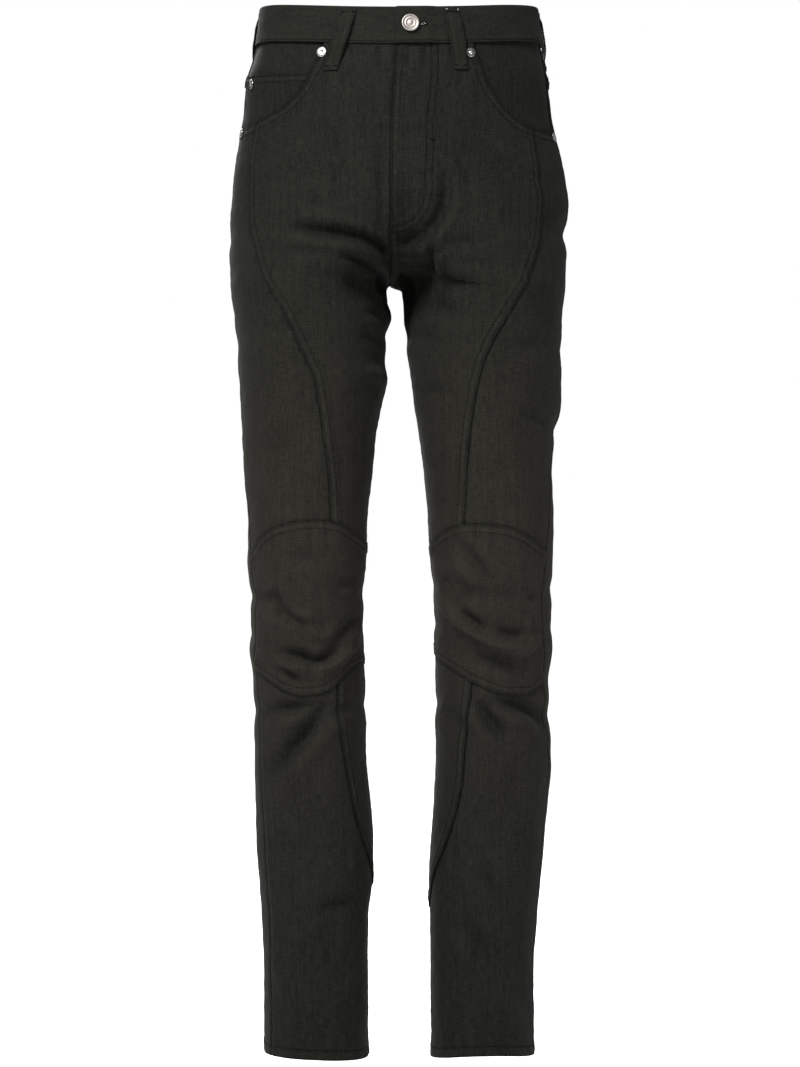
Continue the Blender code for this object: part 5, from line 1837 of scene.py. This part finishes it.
@dataclass
class Waistband:
    """The strip round the waist, whose left end laps over the right one."""

    body: Body
    wardrobe: Wardrobe
    stitching: Stitching
    stand: float = 2.2
    wall: float = 1.5
    under_end: float = 9.2
    hole_drop: float = 18.6
    hole_start: float = 13.0
    hole_end: float = 23.4
    hole_half: float = 1.7
    degree: float = 2.42
    lap_rise: float = 2.4
    cell: float = 2.6

    def laid(self, turn: np.ndarray, drop: np.ndarray, extra: float = 0.0) -> tuple[np.ndarray, np.ndarray]:
        """Places on the band.

        Args:
            turn: Degrees round the waist from the centre front, first over the wearer's right.
            drop: Millimetres below the band's top edge.
            extra: Extra lift.

        Returns:
            Points and outward directions.
        """
        points, normals = np.zeros((len(turn), 3)), np.zeros((len(turn), 3))
        right = (turn >= 0) & (turn <= 180)
        for side, here in ((Side.RIGHT, right), (Side.LEFT, ~right)):
            if not here.any():
                continue
            angle = turn[here]
            if side is Side.LEFT:
                angle = np.where(angle < 0, -angle, 360 - angle)
            fall = drop[here]
            z = waist_top(angle) - fall
            base, normal, lift = self.body.surface(side, angle, z)
            lift = lift * 0.6 + self.stand + extra
            over = (turn[here] > 180) * (1 - smooth((angle - self.under_end - 0.6) / 6))
            lift += self.lap_rise * over
            lift -= 0.55 * bell(fall, 0.6) + 0.45 * bell(BAND_HEIGHT - fall, 0.6)
            lift -= 0.45 * bell(BAND_HEIGHT - fall - 2.2, 0.8)
            wave = ripple(turn[here] * 1.7, fall * 0.5, 9.0, 41)
            lift += 0.16 * wave * bell(BAND_HEIGHT - fall - 4, 4.5)
            lift += 0.30 * ripple(turn[here] * 1.7, fall * 1.2, 48.0, 43)
            lift -= 0.4 * bell((360 - turn[here]) * 1.6, 0.6)
            points[here], normals[here] = base + normal * lift[:, None], normal
        return points, normals

    def build(self) -> None:
        """Make the band and its row of stitching."""
        span = 360.0 + self.under_end
        count = int(span * 1.65 / self.cell)
        turn = np.linspace(-self.under_end, 360.0 - 1.6, count)
        turn = np.append(turn, (359.0, 359.5, 359.8, 360.0))
        drop = np.concatenate([(0.0, 0.4, 1.2), np.linspace(2.6, 33, 12), (34.6, 35.8, 36.8, 37.5, 38.0)])
        across, down = np.meshgrid(turn, drop)
        points, _ = self.laid(across.ravel(), down.ravel())
        points = points.reshape(*across.shape, 3)
        reached = np.linalg.norm(np.diff(points, axis=1), axis=-1).mean(axis=0)
        reached = np.concatenate([[0.0], np.cumsum(reached)])
        # Lighter just inside the band's edges, and painted shade: darker at its top edge and along its
        # stitch row.
        worn = 0.4 * bell(down - 1.0, 1.0) + 0.5 * bell(BAND_HEIGHT - down - 4.6, 1.8)
        worn -= 1.8 * bell(down, 0.6) + 1.2 * bell(BAND_HEIGHT - down - 2.2, 0.9)
        cloth_map = np.stack([down, np.broadcast_to(reached, down.shape)], axis=-1)
        lay_cloth("waistband", self.wardrobe, SHADED_BAND_TWILL, points, cloth_map, worn, self.wall)
        turn = np.linspace(0.5, 359.4, 700)
        self.stitching.sew("stitching_waistband", [self.laid(turn, np.full(700, BAND_HEIGHT - 2.2))],
                           "denim_band")
        self.buttonhole()

    def buttonhole(self) -> None:
        """Close stitches round the end of the buttonhole, and its frayed yarn ends."""
        shape = bmesh.new()
        bend = np.linspace(-math.pi / 2, math.pi / 2, 16)
        start, end, half = self.hole_start, self.hole_end, self.hole_half
        along = np.concatenate([np.linspace(start, end, 20), end + half * np.cos(bend),
                                np.linspace(end, start, 20)])
        upward = np.concatenate([np.full(20, -half), half * np.sin(bend), np.full(20, half)])
        for k in range(1, len(along) - 1):
            ahead = Vector((along[k + 1] - along[k - 1], upward[k + 1] - upward[k - 1])).normalized()
            ends = []
            for reach in (-0.85, 0.85):
                x, z = along[k] - ahead.y * reach, upward[k] + ahead.x * reach
                ends.append((360 - x / self.degree, self.hole_drop - z))
            self.stitch_between(shape, ends)
        self.stitching.finish("stitching_buttonhole", shape, "denim_band")
        shape = bmesh.new()
        for x, z, lean, reach in FRAYED_ENDS:
            tip_x, tip_z = x + reach * math.cos(lean), self.hole_drop - z - reach * math.sin(lean)
            ends = [(360 - x / self.degree, self.hole_drop - z), (360 - tip_x / self.degree, tip_z)]
            self.stitch_between(shape, ends, 0.35, 0.30)
        self.stitching.finish("buttonhole_yarn", shape, "denim_band", pale=True)

    def stitch_between(self, shape: bmesh.types.BMesh, ends: list[tuple[float, float]],
                       extra: float = 0.15, thin: float = 0.5) -> None:
        """One stitch between two places of the band."""
        turn, drop = np.array(ends).T
        points, normals = self.laid(turn, drop, extra)
        self.stitching.stitch(shape, Vector(points[0]), Vector(points[1]), Vector(normals[0]), thin)


@dataclass
class BeltLoops:
    """Five loops that stand off the waistband."""

    body: Body
    wardrobe: Wardrobe
    stitching: Stitching
    half: float = 7.5
    length: float = 66.0
    wall: float = 1.3

    def laid(self, name: str, share: np.ndarray, offset: np.ndarray) -> tuple[np.ndarray, np.ndarray]:
        """Places on a loop.

        Args:
            name: The loop.
            share: Share of its length from the top.
            offset: Millimetres from its middle line.

        Returns:
            Points and outward directions.
        """
        side, angle_top, z_top, angle_low, z_low = LOOPS[name]
        profile = columns(LOOP_PROFILE)
        lift = Curve(profile[0], profile[1])(share) + self.wall + 0.15
        edge = self.half - np.abs(offset)
        lift -= 0.35 * bell(edge, 0.6) + 0.38 * bell(edge - 1.9, 0.8)
        lift += 0.18 * ripple(share * self.length, offset, 12.0, 51 + len(name))
        lift += 0.45 * bell(share * self.length - 62, 2.5)
        z = z_top + (z_low - z_top) * share
        angle = angle_top + (angle_low - angle_top) * share
        form = self.body.forms[side]
        step = np.linalg.norm(form.point(angle + 1.0, z) - form.point(angle, z), axis=-1)
        points, normals, rest = self.body.surface(side, angle + offset / step, z)
        return points + normals * (lift + 0.6 * rest)[:, None], normals

    def build(self) -> None:
        """Make the loops with their stitching and bar tacks."""
        offset = np.array([-7.5, -7.1, -6.4, -5.4, -3.6, -1.2, 1.2, 3.6, 5.4, 6.4, 7.1, 7.5])
        share = np.concatenate([[0.0, 0.006], np.linspace(0.02, 0.98, 52), [0.994, 1.0]])
        across, down = np.meshgrid(offset, share)
        tacks = bmesh.new()
        rows = []
        for name in LOOPS:
            points, _ = self.laid(name, down.ravel(), across.ravel())
            points = points.reshape(*across.shape, 3)
            # Lighter bands a little in from the edges, and painted shadow darker along both edges of the
            # loop.
            worn = 0.5 * bell(self.half - np.abs(across) - 3.6, 1.6)
            worn -= 1.3 * bell(self.half - np.abs(across), 0.7)
            lay_cloth(name, self.wardrobe, SHADED_BAND_TWILL, points,
                      np.stack([across, down * self.length], axis=-1), worn, self.wall)
            run = np.linspace(0.05, 0.93, 90)
            rows += [self.laid(name, run, np.full(90, place)) for place in (-5.6, 5.6)]
            for place in (0.05, 0.94):
                ends, normals = self.laid(name, np.full(2, place), np.array([-6.0, 6.0]))
                self.stitching.tack(tacks, Vector(ends[0]), Vector(ends[1]), Vector(normals[0]), 2.0)
        self.stitching.sew("stitching_belt_loops", rows, "denim_band")
        self.stitching.finish("belt_loop_tacks", tacks, "denim_band")
        shape = bmesh.new()
        for share_at, sideways, lean in LOOSE_ENDS:
            ends, normals = self.laid("belt_loop_front_left", np.array([share_at, share_at - 0.035]),
                                      np.array([sideways, sideways + lean]))
            ends = ends + normals * 0.4
            self.stitching.stitch(shape, Vector(ends[0]), Vector(ends[1]), Vector(normals[0]), 0.5)
        self.stitching.finish("belt_loop_yarn", shape, "denim_band", pale=True)


@dataclass
class Hardware:
    """Waist button and rivets, each turned in one piece."""

    body: Body
    wardrobe: Wardrobe
    segments: int = 56

    def build(self) -> None:
        """Make the button and the rivets."""
        self.turned("waist_button", Side.LEFT, 4.4, -30.8, 5.2, BUTTON_PROFILE, "metal_button",
                    self.wardrobe.nickel("button_nickel", (0.36, 0.33, 0.30), 0.48))
        bright = self.wardrobe.nickel("rivet_nickel", (0.72, 0.70, 0.68), 0.30)
        for name, (side, angle, z, seat, profile) in RIVETS.items():
            self.turned(name, side, angle, z, seat, profile, "metal_rivet", bright)

    def turned(self, name: str, side: Side, angle: float, z: float, seat: float,
               profile: tuple[tuple[float, float, float], ...], slot: str,
               material: bpy.types.Material) -> None:
        """Turn a profile round its axis and seat it on the cloth.

        Args:
            name: The piece's name, which is its solid's.
            side: Side of the form.
            angle: Angle on the form.
            z: Height.
            seat: Height of its underside above the form.
            profile: Rows of radius, height and how light the metal is.
            slot: Material slot, which is passed on but not used.
            material: Its material.
        """
        points, normals, lift = self.body.surface(side, np.array([angle]), np.array([z]))
        axis = Vector(normals[0])
        place = Vector(points[0]) + axis * (float(lift[0]) * 0.6 + seat)
        shape = bmesh.new()
        made = [shape.verts.new((radius, 0.0, height)) for radius, height, _ in profile]
        edges = [shape.edges.new(pair) for pair in zip(made, made[1:])]
        bmesh.ops.spin(shape, geom=made + edges, cent=(0.0, 0.0, 0.0), axis=(0.0, 0.0, 1.0),
                       angle=2 * math.pi, steps=self.segments, use_merge=True)
        bmesh.ops.remove_doubles(shape, verts=shape.verts[:], dist=0.01)
        bmesh.ops.recalc_face_normals(shape, faces=shape.faces[:])
        if shape.calc_volume(signed=True) < 0:
            bmesh.ops.reverse_faces(shape, faces=shape.faces[:])
        rows = np.array(profile)
        polish = [rows[np.hypot(rows[:, 0] - vert.co.xy.length, rows[:, 1] - vert.co.z).argmin(), 2]
                  for vert in shape.verts]
        frame = Matrix.Translation(place * MM) @ axis.to_track_quat("Z", "Y").to_matrix().to_4x4()
        bmesh.ops.transform(shape, verts=shape.verts[:], matrix=frame @ Matrix.Scale(MM, 4))
        piece = placed(name, shape, material)
        attribute = piece.data.attributes.new("polish", "FLOAT", "POINT")
        attribute.data.foreach_set("value", np.array(polish, dtype=np.float32))
        dress(piece, slot, name)


@dataclass
class Studio:
    """Pale floor, soft light and the photograph's camera."""

    distance: float = 3.2
    height: float = -0.545
    frame_height: float = 1.1108
    sensor: float = 36.0
    floor_z: float = -1.118
    from_above: float = 0.53
    from_below: float = 0.06

    def build(self, wardrobe: Wardrobe) -> None:
        """Make the floor, world, lights and camera.

        Args:
            wardrobe: Gives the floor's material.
        """
        scene = bpy.context.scene
        scene.view_settings.view_transform = "Standard"
        shape = bmesh.new()
        bmesh.ops.create_grid(shape, x_segments=1, y_segments=1, size=14.0,
                              matrix=Matrix.Translation((0.0, 6.0, self.floor_z)))
        placed("floor", shape, wardrobe.floor())
        scene.world = self.room()
        self.light("key", (-0.8, -1.6, 1.25), 0.8, 70.0)
        self.light("fill", (1.6, -1.9, -0.45), 1.2, 13.0)
        self.light("rim", (-0.7, 2.2, 1.15), 1.2, 90.0)
        lens = self.sensor * self.distance / self.frame_height
        camera = bpy.data.cameras.new("photo_camera")
        camera.lens = lens
        camera.sensor_width = self.sensor
        holder = bpy.data.objects.new("photo_camera", camera)
        holder.location = (0.0, -self.distance, self.height)
        holder.rotation_euler = (math.pi / 2, 0.0, 0.0)
        scene.collection.objects.link(holder)
        scene.camera = holder

    def room(self) -> bpy.types.World:
        """Pale surroundings, whose light on the cloth comes mostly from above."""
        world = bpy.data.worlds.new("pale_room")
        world.use_nodes = True
        tree = world.node_tree
        pane = tree.nodes["Background"]
        pane.inputs["Color"].default_value = (1.0, 1.0, 1.0, 1.0)
        seen = tree.nodes.new("ShaderNodeLightPath")
        place = tree.nodes.new("ShaderNodeTexCoord")
        parts = tree.nodes.new("ShaderNodeSeparateXYZ")
        from_above = tree.nodes.new("ShaderNodeMapRange")
        strength = tree.nodes.new("ShaderNodeMapRange")
        for name, value in (("From Min", -0.1), ("From Max", 0.8), ("To Min", self.from_below),
                            ("To Max", self.from_above)):
            from_above.inputs[name].default_value = value
        strength.inputs["To Max"].default_value = 1.0
        tree.links.new(place.outputs["Generated"], parts.inputs["Vector"])
        tree.links.new(parts.outputs["Z"], from_above.inputs["Value"])
        tree.links.new(from_above.outputs["Result"], strength.inputs["To Min"])
        tree.links.new(seen.outputs["Is Camera Ray"], strength.inputs["Value"])
        tree.links.new(strength.outputs["Result"], pane.inputs["Strength"])
        return world

    @staticmethod
    def light(name: str, place: tuple[float, float, float], size: float, power: float) -> None:
        """Add a soft area light that looks at the trousers."""
        lamp = bpy.data.lights.new(name, "AREA")
        lamp.size = size
        lamp.energy = power
        holder = bpy.data.objects.new(name, lamp)
        holder.location = place
        look = Vector((0.0, 0.0, -0.5)) - Vector(place)
        holder.rotation_euler = look.to_track_quat("-Z", "Y").to_euler()
        bpy.context.scene.collection.objects.link(holder)


def main() -> None:
    """Build the trousers and the studio."""
    logging.basicConfig(level=logging.INFO, format="%(message)s")
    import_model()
    wardrobe = Wardrobe()
    stitching = Stitching(wardrobe=wardrobe)
    body = Body()
    sides = {side: Legs(body, SeamPlan(body.forms[side]), wardrobe) for side in Side}
    for legs in sides.values():
        legs.build()
        for name, rows in legs.stitch_rows().items():
            stitching.sew(name, rows, "denim_thigh")
            log.info("sewn %s", name)
    HipDetails(body, wardrobe, sides, stitching).build()
    Waistband(body, wardrobe, stitching).build()
    BeltLoops(body, wardrobe, stitching).build()
    Hardware(body, wardrobe).build()
    Studio().build(wardrobe)


if __name__ == "__main__":
    main()
